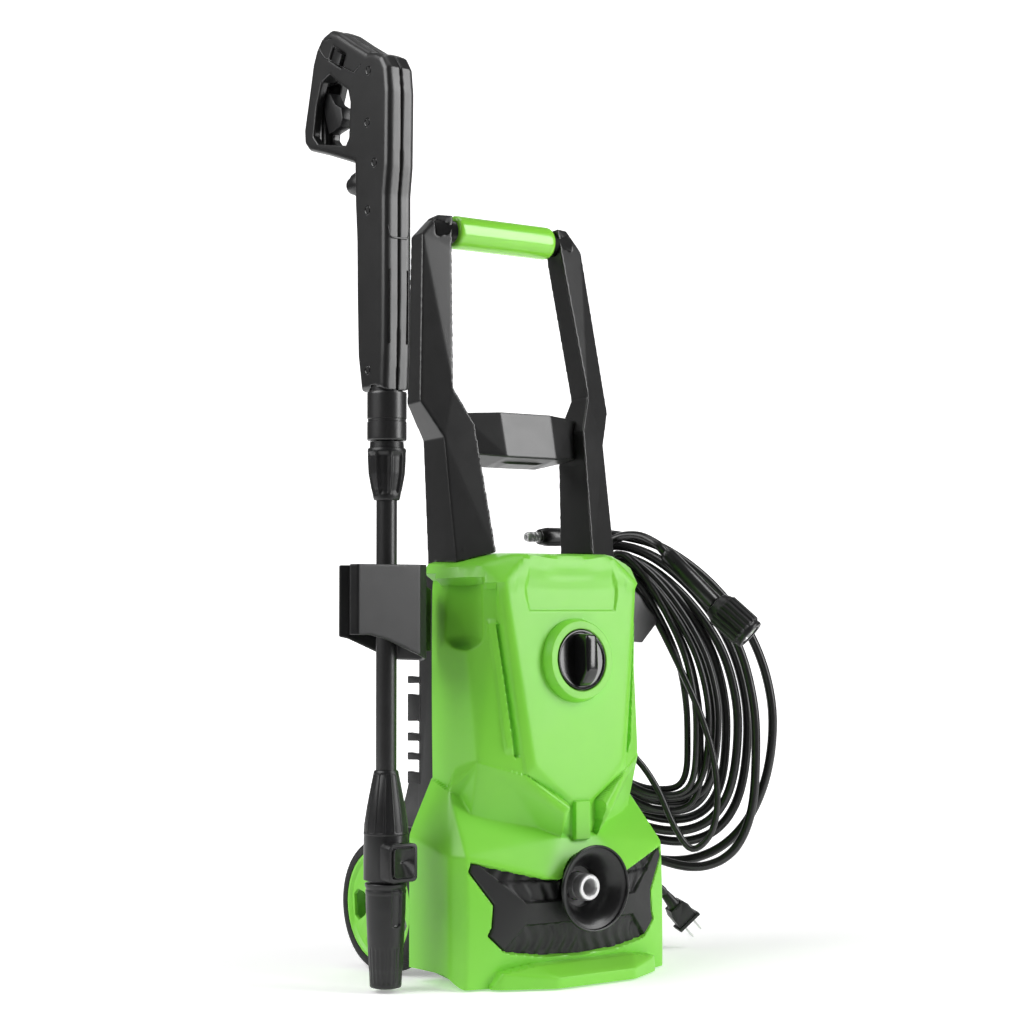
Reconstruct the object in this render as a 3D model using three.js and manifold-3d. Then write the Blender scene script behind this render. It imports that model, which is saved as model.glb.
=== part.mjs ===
// Upright electric pressure washer with its spray gun and lance, hose, mains lead and plug.
// Millimetres, +Z up. The origin is the middle of the front foot's underside, the machine faces -Y.
import * as THREE from "three";
import { ConvexGeometry } from "three/addons/geometries/ConvexGeometry.js";
import { mergeVertices } from "three/addons/utils/BufferGeometryUtils.js";
import Module from "manifold-3d";

const wasm = await Module();
wasm.setup();

// ---------- driving dimensions ----------
const WALL = 3; // moulded wall of the housings
const GAP = 0.3; // air between pieces that touch
const WHEEL_R = 70;
const WHEEL_X = 118; // middle of a wheel, from the centre plane
const WHEEL_WIDTH = 28;
const RIM_R = 59;
const AXLE_Y = 164;
const AXLE_D = 12;
const PANEL_LEAN = THREE.MathUtils.degToRad(3.7); // the front panel leans back
const KNOB_Z = 330;
const PANEL_Y = -6.1; // panel surface at the knob's height
const KNOB_R = 31;
const OUTLET_Z = 98.3;
const NIPPLE_R = 13.7;
const BELL_R = 44;
const BELL_ROOM = 34.5; // hole in the front that the bell's throat sits in
const LANCE_X = -192;
const LANCE_Y = 60;
const TUBE_D = 21;
const GRIP_Z = 787;
const GRIP_Y = 124;
const GRIP_D = 36;
const GRIP_LENGTH = 130;
const HANDLE_TUBE_D = 24;
const MOTOR_Y = 77;
const HOSE_D = 10.5;
const CORD_D = 7.6;
const SEGMENTS = 24;

// ---------- materials ----------
const GREEN = [0x8fe63f, 0.35, 0.0];
const BLACK = [0x1d1e1f, 0.55, 0.0];
const SATIN = [0x2a2b2c, 0.42, 0.0];
const RUBBER = [0x171717, 0.8, 0.0];
const STEEL = [0xb9bcc0, 0.3, 1.0];
const BRASS = [0xb58a45, 0.35, 1.0];
const COPPER = [0x9a5a35, 0.5, 0.8];
const PALE = [0xd9d9d4, 0.5, 0.0];

const machine = new THREE.Group();

// ---------- helpers ----------
// A three.js geometry as a manifold solid.
function solid(geometry) {
  const bare = geometry.clone();
  bare.deleteAttribute("normal");
  bare.deleteAttribute("uv");
  const merged = mergeVertices(bare, 1e-4);
  return new wasm.Manifold(
    new wasm.Mesh({
      numProp: 3,
      vertProperties: Float32Array.from(merged.attributes.position.array),
      triVerts: Uint32Array.from(merged.index.array),
    }),
  );
}

// A manifold solid back as a three.js geometry.
function geometryOf(body) {
  const mesh = body.getMesh();
  const geometry = new THREE.BufferGeometry();
  geometry.setAttribute("position", new THREE.BufferAttribute(mesh.vertProperties, 3));
  geometry.setIndex(new THREE.BufferAttribute(mesh.triVerts, 1));
  const flat = geometry.toNonIndexed();
  flat.computeVertexNormals();
  return flat;
}

function add(name, body, [color, roughness, metalness]) {
  const material = new THREE.MeshStandardMaterial({ color, roughness, metalness });
  const mesh = new THREE.Mesh(geometryOf(body), material);
  mesh.name = name;
  machine.add(mesh);
  return mesh;
}

function hull(points) {
  return solid(new ConvexGeometry(points.map((p) => new THREE.Vector3(...p))));
}

// The same points on both sides of the centre plane.
function both(points) {
  return [...points, ...points.map(([x, y, z]) => [-x, y, z])];
}

function box(x0, x1, y0, y1, z0, z1) {
  const geometry = new THREE.BoxGeometry(x1 - x0, y1 - y0, z1 - z0);
  geometry.translate((x0 + x1) / 2, (y0 + y1) / 2, (z0 + z1) / 2);
  return solid(geometry);
}

// A turned body: profile points are [radius, distance along the axis], axis from `at` along `dir`.
function turned(profile, at, dir, segments = SEGMENTS) {
  const geometry = new THREE.LatheGeometry(
    profile.map(([r, h]) => new THREE.Vector2(r, h)),
    segments,
  );
  const turn = new THREE.Quaternion().setFromUnitVectors(
    new THREE.Vector3(0, 1, 0),
    new THREE.Vector3(...dir).normalize(),
  );
  geometry.applyQuaternion(turn);
  geometry.translate(...at);
  const body = solid(geometry);
  return body.volume() < 0 ? solid(flipped(geometry)) : body;
}

// The same surface with its faces turned round.
function flipped(geometry) {
  const out = geometry.clone();
  const index = out.index.array;
  for (let i = 0; i < index.length; i += 3) {
    [index[i + 1], index[i + 2]] = [index[i + 2], index[i + 1]];
  }
  return out;
}

function rod(r, length, at, dir, segments = SEGMENTS) {
  return turned([[0, 0], [r, 0], [r, length], [0, length]], at, dir, segments);
}

function ring(outer, inner, length, at, dir, segments = SEGMENTS) {
  const profile = [[inner, 0], [outer, 0], [outer, length], [inner, length], [inner, 0]];
  return turned(profile, at, dir, segments);
}

// A flat outline pushed along an axis. plane "xz" runs along +Y, "yz" along +X, "xy" along +Z.
function plate(outline, plane, from, to, holes = [], bevel = 0) {
  const shape = new THREE.Shape(outline.map(([a, b]) => new THREE.Vector2(a, b)));
  for (const hole of holes) {
    shape.holes.push(new THREE.Path(hole.map(([a, b]) => new THREE.Vector2(a, b))));
  }
  const geometry = new THREE.ExtrudeGeometry(shape, {
    depth: to - from - 2 * bevel,
    bevelEnabled: bevel > 0,
    bevelSize: bevel,
    bevelOffset: -bevel,
    bevelThickness: bevel,
    bevelSegments: 3,
    curveSegments: 8,
  });
  geometry.translate(0, 0, bevel);
  const basis = new THREE.Matrix4();
  if (plane === "xz") {
    geometry.scale(1, 1, -1);
    basis.makeRotationX(Math.PI / 2);
    geometry.applyMatrix4(basis);
    geometry.translate(0, from, 0);
  }
  if (plane === "yz") {
    basis.makeBasis(
      new THREE.Vector3(0, 1, 0),
      new THREE.Vector3(0, 0, 1),
      new THREE.Vector3(1, 0, 0),
    );
    geometry.applyMatrix4(basis);
    geometry.translate(from, 0, 0);
  }
  if (plane === "xy") {
    geometry.translate(0, 0, from);
  }
  const body = solid(geometry);
  return body.volume() < 0 ? solid(turnedOver(geometry)) : body;
}

function turnedOver(geometry) {
  const merged = mergeVertices(geometry, 1e-4);
  return flipped(merged);
}

function join(...bodies) {
  return bodies.reduce((a, b) => a.add(b));
}

function cut(body, ...tools) {
  return tools.reduce((a, b) => a.subtract(b), body);
}

// A round tube through hand-chosen points.
function tube(points, d, steps, sides = 10) {
  const path = new THREE.CatmullRomCurve3(points.map((p) => new THREE.Vector3(...p)), false, "centripetal");
  const circle = new THREE.Shape();
  for (let i = 0; i < sides; i += 1) {
    const a = (2 * Math.PI * i) / sides;
    const x = (d / 2) * Math.cos(a);
    const y = (d / 2) * Math.sin(a);
    if (i === 0) circle.moveTo(x, y);
    else circle.lineTo(x, y);
  }
  circle.closePath();
  return solid(new THREE.ExtrudeGeometry(circle, { steps, extrudePath: path, bevelEnabled: false }));
}

// ---------- housing outlines ----------
// The upper tower with its tapering front panel, which runs down into a point.
const TOWER = both([
  [58, 3, 437], [66, 15, 439], [66, 97, 440], [104, 97, 428], [102, 32, 426],
  [86, 0, 402], [107, 36, 400], [110, 97, 402],
  [77.6, -5, 347], [110.5, 34.5, 345], [110.5, 97, 345],
  [59.5, -13, 224], [107.5, 19.7, 228], [110, 97, 226],
  [13.3, -16.6, 187], [104, 40, 150], [108, 97, 150], [10, -14, 150],
]);
// The shoulder slab that overhangs the sides.
const SHOULDER = both([
  [56, 2, 438], [64, 15, 441], [66, 97, 442], [100, 24, 429], [113, 60, 429], [113, 97, 430],
  [88, -1, 404], [113.5, 32, 403], [117, 60, 406], [117, 97, 408],
]);
// The flared base.
const BASE = both([
  [50, -9, 2], [102, 0, 2], [131, 7, 2], [138, 24, 2], [138, 92, 2],
  [50, -12, 32], [106, -2, 52],
  [52, -20, 84], [104, -5, 84], [130, 6, 84],
  [52, -25, 110], [20, -27, 112], [129.5, 8, 134], [138, 24, 134], [138, 92, 152],
  [25, -12, 149], [116, 57, 197], [110, 92, 208],
]);
// One side of the overhanging brow above the base.
const BROW = [
  [107.5, 19.7, 228], [116, 57, 197], [24, -27, 181], [24, -8, 188], [25, -12, 149],
  [104, 60, 226], [104, 80, 190], [30, 40, 190], [30, 40, 150], [80, 60, 150],
];
// The bumper lip along the bottom edge.
const LIP = both([
  [63.5, -21.3, 24.3], [51.3, -41, 13.2], [51.3, -40, 2], [99.6, -14.7, 18.7], [100.8, -14.7, 2],
  [109, -4, 2], [100, 10, 2], [100, 10, 18], [63, 10, 24],
]);
// Window of the black inset, half an outline in x and z.
const MASK_HALF = [
  [0, 106], [52, 109.5], [124.5, 128], [126.5, 119], [104, 86], [105, 64], [109, 55],
  [93, 39], [88, 37], [50, 31.5], [0, 29.5],
];
const MASK = [...MASK_HALF, ...MASK_HALF.slice(1, -1).reverse().map(([x, z]) => [-x, z])];
// Black rear cover.
const REAR_TOP = both([
  [104, 97.3, 150], [104, 97.3, 424], [66, 97.3, 434], [100, 134, 150], [100, 134, 415],
  [76, 156, 150], [76, 156, 400], [60, 134, 432],
]);
const REAR_LOW = both([
  [99, 92.3, 14], [99, 92.3, 150], [99, 150, 14], [99, 160, 150], [82, 186, 24], [82, 182, 150],
]);

// Points drawn in towards the middle by a wall thickness.
function drawnIn(points, wall, middle) {
  return points.map(([x, y, z]) => [
    x - Math.sign(x) * wall,
    y + wall * Math.sign(middle[1] - y),
    z + wall * Math.sign(middle[2] - z),
  ]);
}

const moved = (points, dx, dy, dz) => points.map(([x, y, z]) => [x + dx, y + dy, z + dz]);
const mirrored = (points) => points.map(([x, y, z]) => [-x, y, z]);

// ---------- handle ----------
// Stations of an arm: front inner x y, front outer x y, z inner, z outer, depth.
const ARM = [
  [64, 43, 107, 57, 436, 429, 56],
  [73, 70.5, 107.5, 78, 577, 562, 44],
  [91, 84, 126.8, 94, 615, 600, 30],
  [75, 109, 108, 117, 768, 781, 27],
  [71, 113, 88, 118, 803, 803, 22],
];

function armStation([xi, yi, xo, yo, zi, zo, depth]) {
  return [
    [xi, yi, zi], [xo, yo, zo],
    [xi, yi + depth, zi - 2], [xo, yo + depth - 5, zo - 2],
  ];
}

// The right arm without its cuts.
function armBody() {
  const spans = [];
  for (let i = 0; i + 1 < ARM.length; i += 1) {
    spans.push(hull([...armStation(ARM[i]), ...armStation(ARM[i + 1])]));
  }
  return join(...spans);
}

// The foot of the arm that stands inside the housing.
const TANG = [72, 98, 56, 84];

function rightArm() {
  const shoulderUp = hull(moved(SHOULDER, 0, 0, GAP + 0.2));
  const rearUp = hull(moved(REAR_TOP, 0, 0, GAP + 0.2));
  const towerUp = hull(moved(TOWER, 0, 0, GAP + 0.2));
  const body = cut(armBody(), shoulderUp, rearUp, towerUp);
  const tang = box(TANG[0], TANG[1], TANG[2], TANG[3], 380, 446);
  const bore = rod(HANDLE_TUBE_D / 2 + GAP, 60, [60, GRIP_Y, GRIP_Z], [1, 0, 0]);
  const whole = join(body, tang);
  return cut(whole, bore.intersect(box(60, 92, 80, 160, 740, 820)));
}

function buildHandle() {
  const right = rightArm();
  const left = right.mirror([1, 0, 0]);
  add("handle_arm_right", right, SATIN);
  add("handle_arm_left", left, SATIN);
  add("handle_tube", rod(HANDLE_TUBE_D / 2, 183, [-91.5, GRIP_Y, GRIP_Z], [1, 0, 0], 28), STEEL);
  const sleeve = turned(
    [[12.2, 0], [GRIP_D / 2 - 2, 0], [GRIP_D / 2, 4], [GRIP_D / 2, GRIP_LENGTH - 4],
      [GRIP_D / 2 - 2, GRIP_LENGTH], [12.2, GRIP_LENGTH], [12.2, 0]],
    [-GRIP_LENGTH / 2, GRIP_Y, GRIP_Z], [1, 0, 0], 32,
  );
  add("grip_sleeve", sleeve, GREEN);
  const bar = join(
    hull(both([[33, 67, 544], [34, 78, 592], [34, 108, 534], [34, 110, 592], [76, 84, 547], [78, 92, 590], [76, 108, 543], [78, 112, 590]])),
    hull(both([[20, 84, 538], [20, 106, 534], [74, 94, 546], [74, 106, 544], [74, 94, 560], [20, 84, 560]])),
  );
  const grown = armBody();
  const trimmed = cut(
    bar,
    grown, grown.translate([-GAP, 0, 0]),
    grown.mirror([1, 0, 0]), grown.mirror([1, 0, 0]).translate([GAP, 0, 0]),
  );
  const pieces = trimmed.decompose().sort((a, b) => b.volume() - a.volume());
  add("handle_crossbar", pieces[0], SATIN);
}

// ---------- front housing ----------
// A tilted frame on the front panel: x across, n out of the panel, at height z.
function panelAt(z, out) {
  const y = PANEL_Y - (KNOB_Z - z) * Math.tan(PANEL_LEAN);
  return [0, y - out * Math.cos(PANEL_LEAN), z + out * Math.sin(PANEL_LEAN)];
}
const PANEL_OUT = [0, -Math.cos(PANEL_LEAN), Math.sin(PANEL_LEAN)];
const PANEL_IN = PANEL_OUT.map((v) => -v);

function frontShell() {
  const outer = join(
    hull(TOWER), hull(SHOULDER), hull(BASE), hull(BROW), hull(mirrored(BROW)), hull(LIP),
    box(-10, 10, -18.5, 0, 146, 188),
  );
  const middle = [0, 200, 200];
  const inner = join(
    hull(drawnIn(moved(TOWER, 0, 0.1, 0), WALL, middle)),
    hull(drawnIn(moved(SHOULDER, 0, 0.1, 0), WALL + 1, [0, 200, 380])),
    hull(drawnIn(moved(BASE, 0, 0.1, 0), WALL, middle)),
    hull(drawnIn(BROW, WALL, middle)).intersect(box(30, 130, -40, 120, 140, 240)),
    hull(drawnIn(mirrored(BROW), WALL, middle)).intersect(box(-130, -30, -40, 120, 140, 240)),
    box(-98, 98, 40, 120, -5, 200),
    box(-105, 105, 40, 120, 100, 400),
    box(-134, 134, 30, 120, -5, 120),
  );
  return { outer, inner };
}

// A raised rib down each recessed side of the panel, hooked inwards at its foot.
function sideRib() {
  return join(
    hull([[90, 15, 371], [97, 21, 372], [88, 24, 371], [99, 26, 371], [74, -4, 238], [80, 2, 236], [74, 6, 238], [84, 8, 236],
      [89, 30, 366], [76, 12, 240]]),
    hull([[60, -13.5, 232], [60, -13, 226], [62, 0, 232], [62, 0, 226], [79, 0, 240], [79, 1, 230], [74, 8, 238], [76, 8, 230]]),
  );
}

function buildFrontHousing() {
  const { outer, inner } = frontShell();
  const ribs = join(sideRib(), sideRib().mirror([1, 0, 0]));
  const knobRing = turned(
    [[0, -4], [43.5, -4], [43.5, 3], [40, 11], [0, 11]],
    panelAt(KNOB_Z, 0), PANEL_OUT, 36,
  );
  const knobWell = rod(KNOB_R + 1, 40, panelAt(KNOB_Z, 1), PANEL_OUT, 36);
  const shaftHole = rod(6, 40, panelAt(KNOB_Z, -20), PANEL_OUT, 20);
  const badge = [[55.5, 421], [62, 404], [57, 381], [-57, 381], [-62, 404], [-55.5, 421]];
  const badgePocket = plate(badge, "xz", -40, 0.6);
  const cove = (s) => hull([
    ...circle(25, s * 126, 57, 398), ...circle(25, s * 126, 57, 352),
    [s * 112, 32, 345], [s * 112, 82, 338], [s * 150, 57, 340],
  ]);
  const window = plate(MASK, "xz", -80, 40);
  const underside = (s) => hull([
    [s * 150, 38, 16], [s * 150, 38, -5], [s * 90, 38, 16], [s * 90, 38, -5],
    [s * 150, 110, 13], [s * 150, 110, -5], [s * 90, 110, 13], [s * 90, 110, -5],
    [s * 150, 12, -5], [s * 90, 12, -5],
  ]);
  const armSlot = (s) => (s > 0
    ? box(TANG[0] - GAP, TANG[1] + GAP, TANG[2] - GAP, TANG[3] + GAP, 375, 460)
    : box(-TANG[1] - GAP, -TANG[0] + GAP, TANG[2] - GAP, TANG[3] + GAP, 375, 460));
  let shell = outer;
  shell = cut(shell, cove(1), cove(-1));
  const coveWall = (s) => hull([
    ...circle(28, s * 126, 57, 400), ...circle(28, s * 126, 57, 349),
    [s * 112, 29, 342], [s * 112, 85, 335],
  ]);
  const room = cut(inner, coveWall(1), coveWall(-1));
  shell = cut(shell, room, window, badgePocket);
  const lining = cut(ribs.intersect(outer), cove(1), cove(-1));
  shell = join(shell, cut(ribs, inner), lining);
  shell = join(shell, knobRing);
  shell = cut(shell, knobWell, shaftHole, underside(1), underside(-1), armSlot(1), armSlot(-1));
  const bellHole = rod(BELL_ROOM, 60, [0, -60, OUTLET_Z], [0, 1, 0], 36);
  const trayRoom = box(-94.3, 94.3, -4.3, 110, -5, 10.3);
  const footRoom = box(-70.3, 70.3, -12.3, 12.3, -5, 6.3);
  shell = cut(shell, bellHole, trayRoom, footRoom);
  // lug for the lance holder
  const lug = box(-123, -112, 78, 96, 338, 409);
  shell = join(shell, lug);
  const pieces = shell.decompose().sort((a, b) => b.volume() - a.volume());
  add("front_housing", pieces[0], GREEN);
}

function circle(r, x, y, z, n = 16) {
  const points = [];
  for (let i = 0; i < n; i += 1) {
    const a = (2 * Math.PI * i) / n;
    points.push([x + r * Math.cos(a), y + r * Math.sin(a), z]);
  }
  return points;
}

// ---------- black inset, bell and outlet ----------
function maskOutline(grow) {
  return MASK.map(([x, z]) => [x - Math.sign(x) * grow, z - Math.sign(z - 78) * grow]);
}

function buildMask() {
  const skin = hull(moved(BASE, 0, -0.6, 0));
  const back = hull(moved(BASE, 0, 4, 0));
  const plateBody = cut(plate(maskOutline(GAP), "xz", -60, 30).intersect(skin), back);
  const bars = [
    [0, 87], [72, 87], [117, 126], [124, 127], [125.8, 119], [103.3, 86], [104.3, 64], [108, 55],
    [92.5, 39.6], [70, 64], [0, 64],
  ];
  const outline = [...bars, ...bars.slice(1, -1).reverse().map(([x, z]) => [-x, z])];
  const raised = cut(plate(outline, "xz", -60, 30).intersect(hull(moved(BASE, 0, -4.6, 0))), back);
  const bellHole = rod(BELL_ROOM, 60, [0, -60, OUTLET_Z], [0, 1, 0], 36);
  const whole = cut(join(plateBody, raised), bellHole);
  const pieces = whole.decompose().sort((a, b) => b.volume() - a.volume());
  add("mask_trim", pieces[0], BLACK);
}

function buildOutlet() {
  const bell = turned(
    [[BELL_R - 2.4, -2], [BELL_R, 0], [BELL_R - 0.6, 3], [33, 12], [26.5, 18], [23.7, 22], [23.7, 34],
      [16, 34], [16, 30.5], [20.5, 30], [20.5, 23], [24, 15], [BELL_R - 4, 2], [BELL_R - 2.4, -2]],
    [0, -38, OUTLET_Z], [0, 1, 0], 36,
  );
  add("outlet_bell", bell, BLACK);
  const nipple = turned(
    [[NIPPLE_R - 3.4, 0], [NIPPLE_R - 1, 0], [NIPPLE_R, 1.5], [NIPPLE_R, 32], [10, 33], [10, 58], [4, 58], [4, 20],
      [NIPPLE_R - 3.4, 20], [NIPPLE_R - 3.4, 0]],
    [0, -29, OUTLET_Z], [0, 1, 0], 28,
  );
  add("outlet_nipple", nipple, STEEL);
}

// ---------- switch ----------
function buildSwitch() {
  const at = panelAt(KNOB_Z, 1.4);
  const disc = turned(
    [[0, 0], [KNOB_R, 0], [KNOB_R, 7.7], [KNOB_R - 1.5, 9.2], [0, 9.2]],
    at, PANEL_OUT, 36,
  );
  const gripZ = new THREE.Vector3(0, Math.sin(PANEL_LEAN), Math.cos(PANEL_LEAN));
  const base = new THREE.Vector3(...panelAt(KNOB_Z, 9));
  const tip = new THREE.Vector3(...panelAt(KNOB_Z, 28.5));
  const corners = [];
  // the finger grip stands up steeply at its top and slopes back at its foot
  for (const [up, down, wide, from] of [[28.5, 28.5, 7.5, base], [26, 17, 5.5, tip]]) {
    for (const reach of [up, -down]) {
      const p = from.clone().addScaledVector(gripZ, reach);
      corners.push([wide, p.y, p.z], [-wide, p.y, p.z]);
    }
  }
  const shaft = rod(4, 26, panelAt(KNOB_Z, 2), PANEL_IN, 16);
  add("switch_knob", join(disc, hull(corners), shaft), BLACK);
  const box1 = box(-22, 22, 6, 27, KNOB_Z - 24, KNOB_Z + 24);
  const hole = rod(4 + GAP, 60, panelAt(KNOB_Z, 0), PANEL_IN, 16);
  add("switch_body", cut(box1, hole), PALE);
}

// ---------- motor and pump ----------
function buildPowerUnit() {
  const up = [0, 0, 1];
  const y = MOTOR_Y;
  add("motor_housing", turned(
    [[10.3, 0], [44, 0], [48, 4], [48, 116], [44, 120], [34, 120], [34, 12], [10.3, 12], [10.3, 0]],
    [0, y, 196], up, 24,
  ), STEEL);
  add("motor_rotor", turned(
    [[0, 0], [9.5, 0], [9.5, 26], [30, 26], [30, 118], [9.5, 118], [9.5, 146], [0, 146]],
    [0, y, 186], up, 24,
  ), COPPER);
  const blades = [];
  for (let i = 0; i < 6; i += 1) {
    const blade = box(12, 46, -1.5, 1.5, 322, 342);
    blades.push(blade.rotate([0, 0, i * 60]).translate([0, y, 0]));
  }
  const hub = ring(14, 9.7, 20, [0, y, 322], up, 24);
  const disc = ring(47, 9.7, 3, [0, y, 321], up, 24);
  add("cooling_fan", join(hub, disc, ...blades), BLACK);
  add("pump_gearcase", turned(
    [[9.9, 0], [9.9, 3], [50, 3], [50, -52], [40, -58], [40, -62], [0, -62], [0, -58], [36, -58], [36, -3], [9.9, -3], [9.9, 0]],
    [0, y, 192.5], up, 24,
  ), STEEL);
  add("wobble_plate", turned([[0, 0], [9, 0], [9, 22], [28, 26], [28, 34], [9, 34], [9, 47], [0, 47]], [0, y, 138.7], up, 24), BRASS);
  const head = box(-38, 38, y - 44, y + 40, 70, 130.2);
  const outPort = rod(13, 60, [0, y - 60, OUTLET_Z], [0, 1, 0], 20);
  const bore = rod(10 + GAP, 40, [0, y - 70, OUTLET_Z], [0, 1, 0], 20);
  const inlet = rod(9 + GAP, 30, [-22, y + 20, 112], [0, 1, 0], 20);
  add("pump_head", cut(join(head, outPort), bore, inlet), STEEL);
  const pipe = rod(9, 72, [-22, y + 21, 112], [0, 1, 0], 20);
  const thread = turned(
    [[0, 0], [9, 0], [9, 18], [14, 18], [14, 24], [12, 24], [12, 40], [6, 40], [6, 20], [0, 20]],
    [-22, y + 92, 112], [0, 1, 0], 20,
  );
  add("water_inlet", join(pipe, thread), BRASS);
  add("capacitor", rod(17, 62, [72, 78, 250], up, 24), PALE);
}

// ---------- rear cover and chassis ----------
function buildRear() {
  const outer = join(hull(REAR_TOP), hull(REAR_LOW));
  const inner = join(
    hull(drawnIn(moved(REAR_TOP, 0, -WALL, 0), WALL, [0, 0, 250])),
    hull(drawnIn(moved(REAR_LOW, 0, -WALL, 0), WALL, [0, 0, 90])),
    box(-95, 95, 80, 120, 40, 400),
    box(-80, 80, 90, 140, 130, 165),
  );
  let shell = cut(outer, inner);
  // comb of teeth along both rear edges, which keeps a wound lead in place
  const teeth = [[198, 211], [223, 231], [243, 252], [264, 293], [304, 312]];
  for (const s of [-1, 1]) {
    for (const [z0, z1] of teeth) {
      const tooth = hull([
        [s * 94, 130, z0 + 1], [s * 94, 130, z1 - 1], [s * 101, 132, z0 + 1], [s * 101, 132, z1 - 1],
        [s * 94, 154, z0], [s * 94, 154, z1], [s * 101, 154, z0], [s * 101, 154, z1],
      ]);
      shell = join(shell, tooth);
    }
    // skirt that runs out to the wheel arch
    shell = join(shell, hull([
      [s * 101, 98, 206], [s * 96, 154, 206], [s * 101, 98, 152], [s * 96, 168, 176], [s * 96, 168, 152],
      [s * 90, 98, 206], [s * 90, 154, 206], [s * 90, 98, 152], [s * 90, 168, 176], [s * 90, 168, 152],
    ]));
  }
  const boss = rod(14, 196, [-98, AXLE_Y, WHEEL_R], [1, 0, 0], 28);
  shell = join(shell, boss);
  const axleHole = rod(AXLE_D / 2 + GAP, 260, [-130, AXLE_Y, WHEEL_R], [1, 0, 0], 24);
  const inletHole = rod(15, 40, [-22, 168, 112], [0, 1, 0], 28);
  const slots = [];
  for (let i = 0; i < 9; i += 1) {
    slots.push(box(-46, 46, 140, 170, 250 + i * 14, 256 + i * 14));
  }
  const cordHole = rod(8.2, 40, [40, 165, 112], [0, 1, 0], 20);
  shell = cut(shell, axleHole, inletHole, cordHole, ...slots);
  const pieces = shell.decompose().sort((a, b) => b.volume() - a.volume());
  add("rear_housing", pieces[0], BLACK);
  const tray = join(
    box(-94, 94, -4, 88, 6.3, 10),
    box(-40, 40, 30, 86, 9, 69.7),
    box(-94, 94, 86, 92, 6.3, 30),
  );
  add("chassis_tray", tray, BLACK);
  const foot = hull(both([[70, -11, 0], [70, 11, 0], [70, -12, 2], [70, 12, 2], [70, -12, 6], [70, 12, 6]]));
  add("front_foot", foot, RUBBER);
}

// ---------- wheels ----------
function kidney(k) {
  const a = (2 * Math.PI * k) / 5;
  const points = [];
  for (const [r, t] of [[23, -0.2], [23, 0.2], [34, -0.42], [34, 0.34], [46, -0.44], [46, 0.3], [51, -0.3], [51, 0.15]]) {
    points.push([-30, r * Math.cos(a + t), r * Math.sin(a + t)], [30, r * Math.cos(a + t), r * Math.sin(a + t)]);
  }
  return hull(points);
}

function buildWheels() {
  const axle = rod(AXLE_D / 2, 262, [-131, AXLE_Y, WHEEL_R], [1, 0, 0], 24);
  add("wheel_axle", axle, STEEL);
  for (const [side, s] of [["left", -1], ["right", 1]]) {
    const half = WHEEL_WIDTH / 2;
    const tyre = turned(
      [[RIM_R + GAP, -half], [WHEEL_R - 3, -half], [WHEEL_R, -half + 4], [WHEEL_R, half - 4],
        [WHEEL_R - 3, half], [RIM_R + GAP, half], [RIM_R + GAP, -half]],
      [s * WHEEL_X, AXLE_Y, WHEEL_R], [1, 0, 0], 40,
    );
    add(side + "_tyre", tyre, RUBBER);
    const rim = turned(
      [[AXLE_D / 2 + GAP, -half], [16, -half], [16, 4], [RIM_R - 5, 6], [RIM_R - 3, -half], [RIM_R, -half],
        [RIM_R, half - 1], [RIM_R - 3, half - 1], [RIM_R - 6, half - 4], [18, half - 4], [15, half - 1],
        [AXLE_D / 2 + GAP, half - 1], [AXLE_D / 2 + GAP, -half]],
      [0, 0, 0], [s, 0, 0], 36,
    );
    const holes = [0, 1, 2, 3, 4].map(kidney);
    const spoked = cut(rim, ...holes).translate([s * WHEEL_X, AXLE_Y, WHEEL_R]);
    add(side + "_rim", spoked, GREEN);
    const x = s * (WHEEL_X + half - 0.6);
    add(side + "_hub_cap", turned([[0, 0], [12, 0], [12, 2.5], [8, 5], [0, 5.5]], [x, AXLE_Y, WHEEL_R], [s, 0, 0], 28), BLACK);
  }
}

// ---------- lance holder ----------
function buildHolder() {
  // walls of the cup in plan, from the free end of the front wall round to the free end of the back wall
  const walls = [
    [-249, 38], [-245, 32], [-172, 31], [-162, 35], [-158, 45], [-158, 88], [-163, 97], [-172, 100],
    [-212, 100], [-219, 104],
  ];
  const t = 3;
  const parts = [];
  for (let i = 0; i + 1 < walls.length; i += 1) {
    const [x0, y0] = walls[i];
    const [x1, y1] = walls[i + 1];
    const round = (x, y) => [...circle(t / 2, x, y, 320, 8), ...circle(t / 2, x, y, 428, 8)];
    parts.push(hull([...round(x0, y0), ...round(x1, y1)]));
  }
  let cup = join(...parts);
  const slope = hull([
    [-270, 0, 358], [-232, 0, 358], [-212, 0, 353], [-160, 0, 325], [-140, 0, 324],
    [-270, 130, 358], [-232, 130, 358], [-212, 130, 353], [-160, 130, 325], [-140, 130, 324],
    [-270, 0, 200], [-140, 0, 200], [-270, 130, 200], [-140, 130, 200],
  ]);
  cup = cut(cup, slope);
  const bracket = join(
    hull([[-157, 60, 339], [-157, 92, 339], [-157, 60, 412], [-157, 92, 412], [-123.3, 79, 340], [-123.3, 94, 340],
      [-123.3, 79, 404], [-123.3, 94, 404]]),
  );
  add("lance_holder", join(cup, bracket), BLACK);
}

// ---------- hose hook ----------
// An arm from the machine's side, and a saddle across it that the lead and the hose hang on.
function buildHoseHook() {
  const outline = [
    [103.7, 350], [150, 350], [186, 345], [208, 367], [206, 374], [193, 386], [184, 398], [170, 408], [103.7, 400],
  ];
  const arm = plate(outline, "xz", 104, 120);
  const saddle = hull(saddleEnds(-60, -16, 112, 133));
  const rear = hull(saddleEnds(-17, 24, 112, 145));
  const stop = hull(saddleEnds(20, 26, 112, 170));
  add("hose_hook", join(arm, saddle, rear, stop), SATIN);
}

// Corners of a bar that runs outwards under the coils, between two heights.
function saddleEnds(from, to, low, high) {
  const corners = [];
  for (const across of [-33, -19]) {
    for (const out of [from, to]) {
      for (const up of [low, high]) {
        corners.push(coilPoint(HOSE_CENTRE, across, out, up));
      }
    }
  }
  return corners;
}

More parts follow.
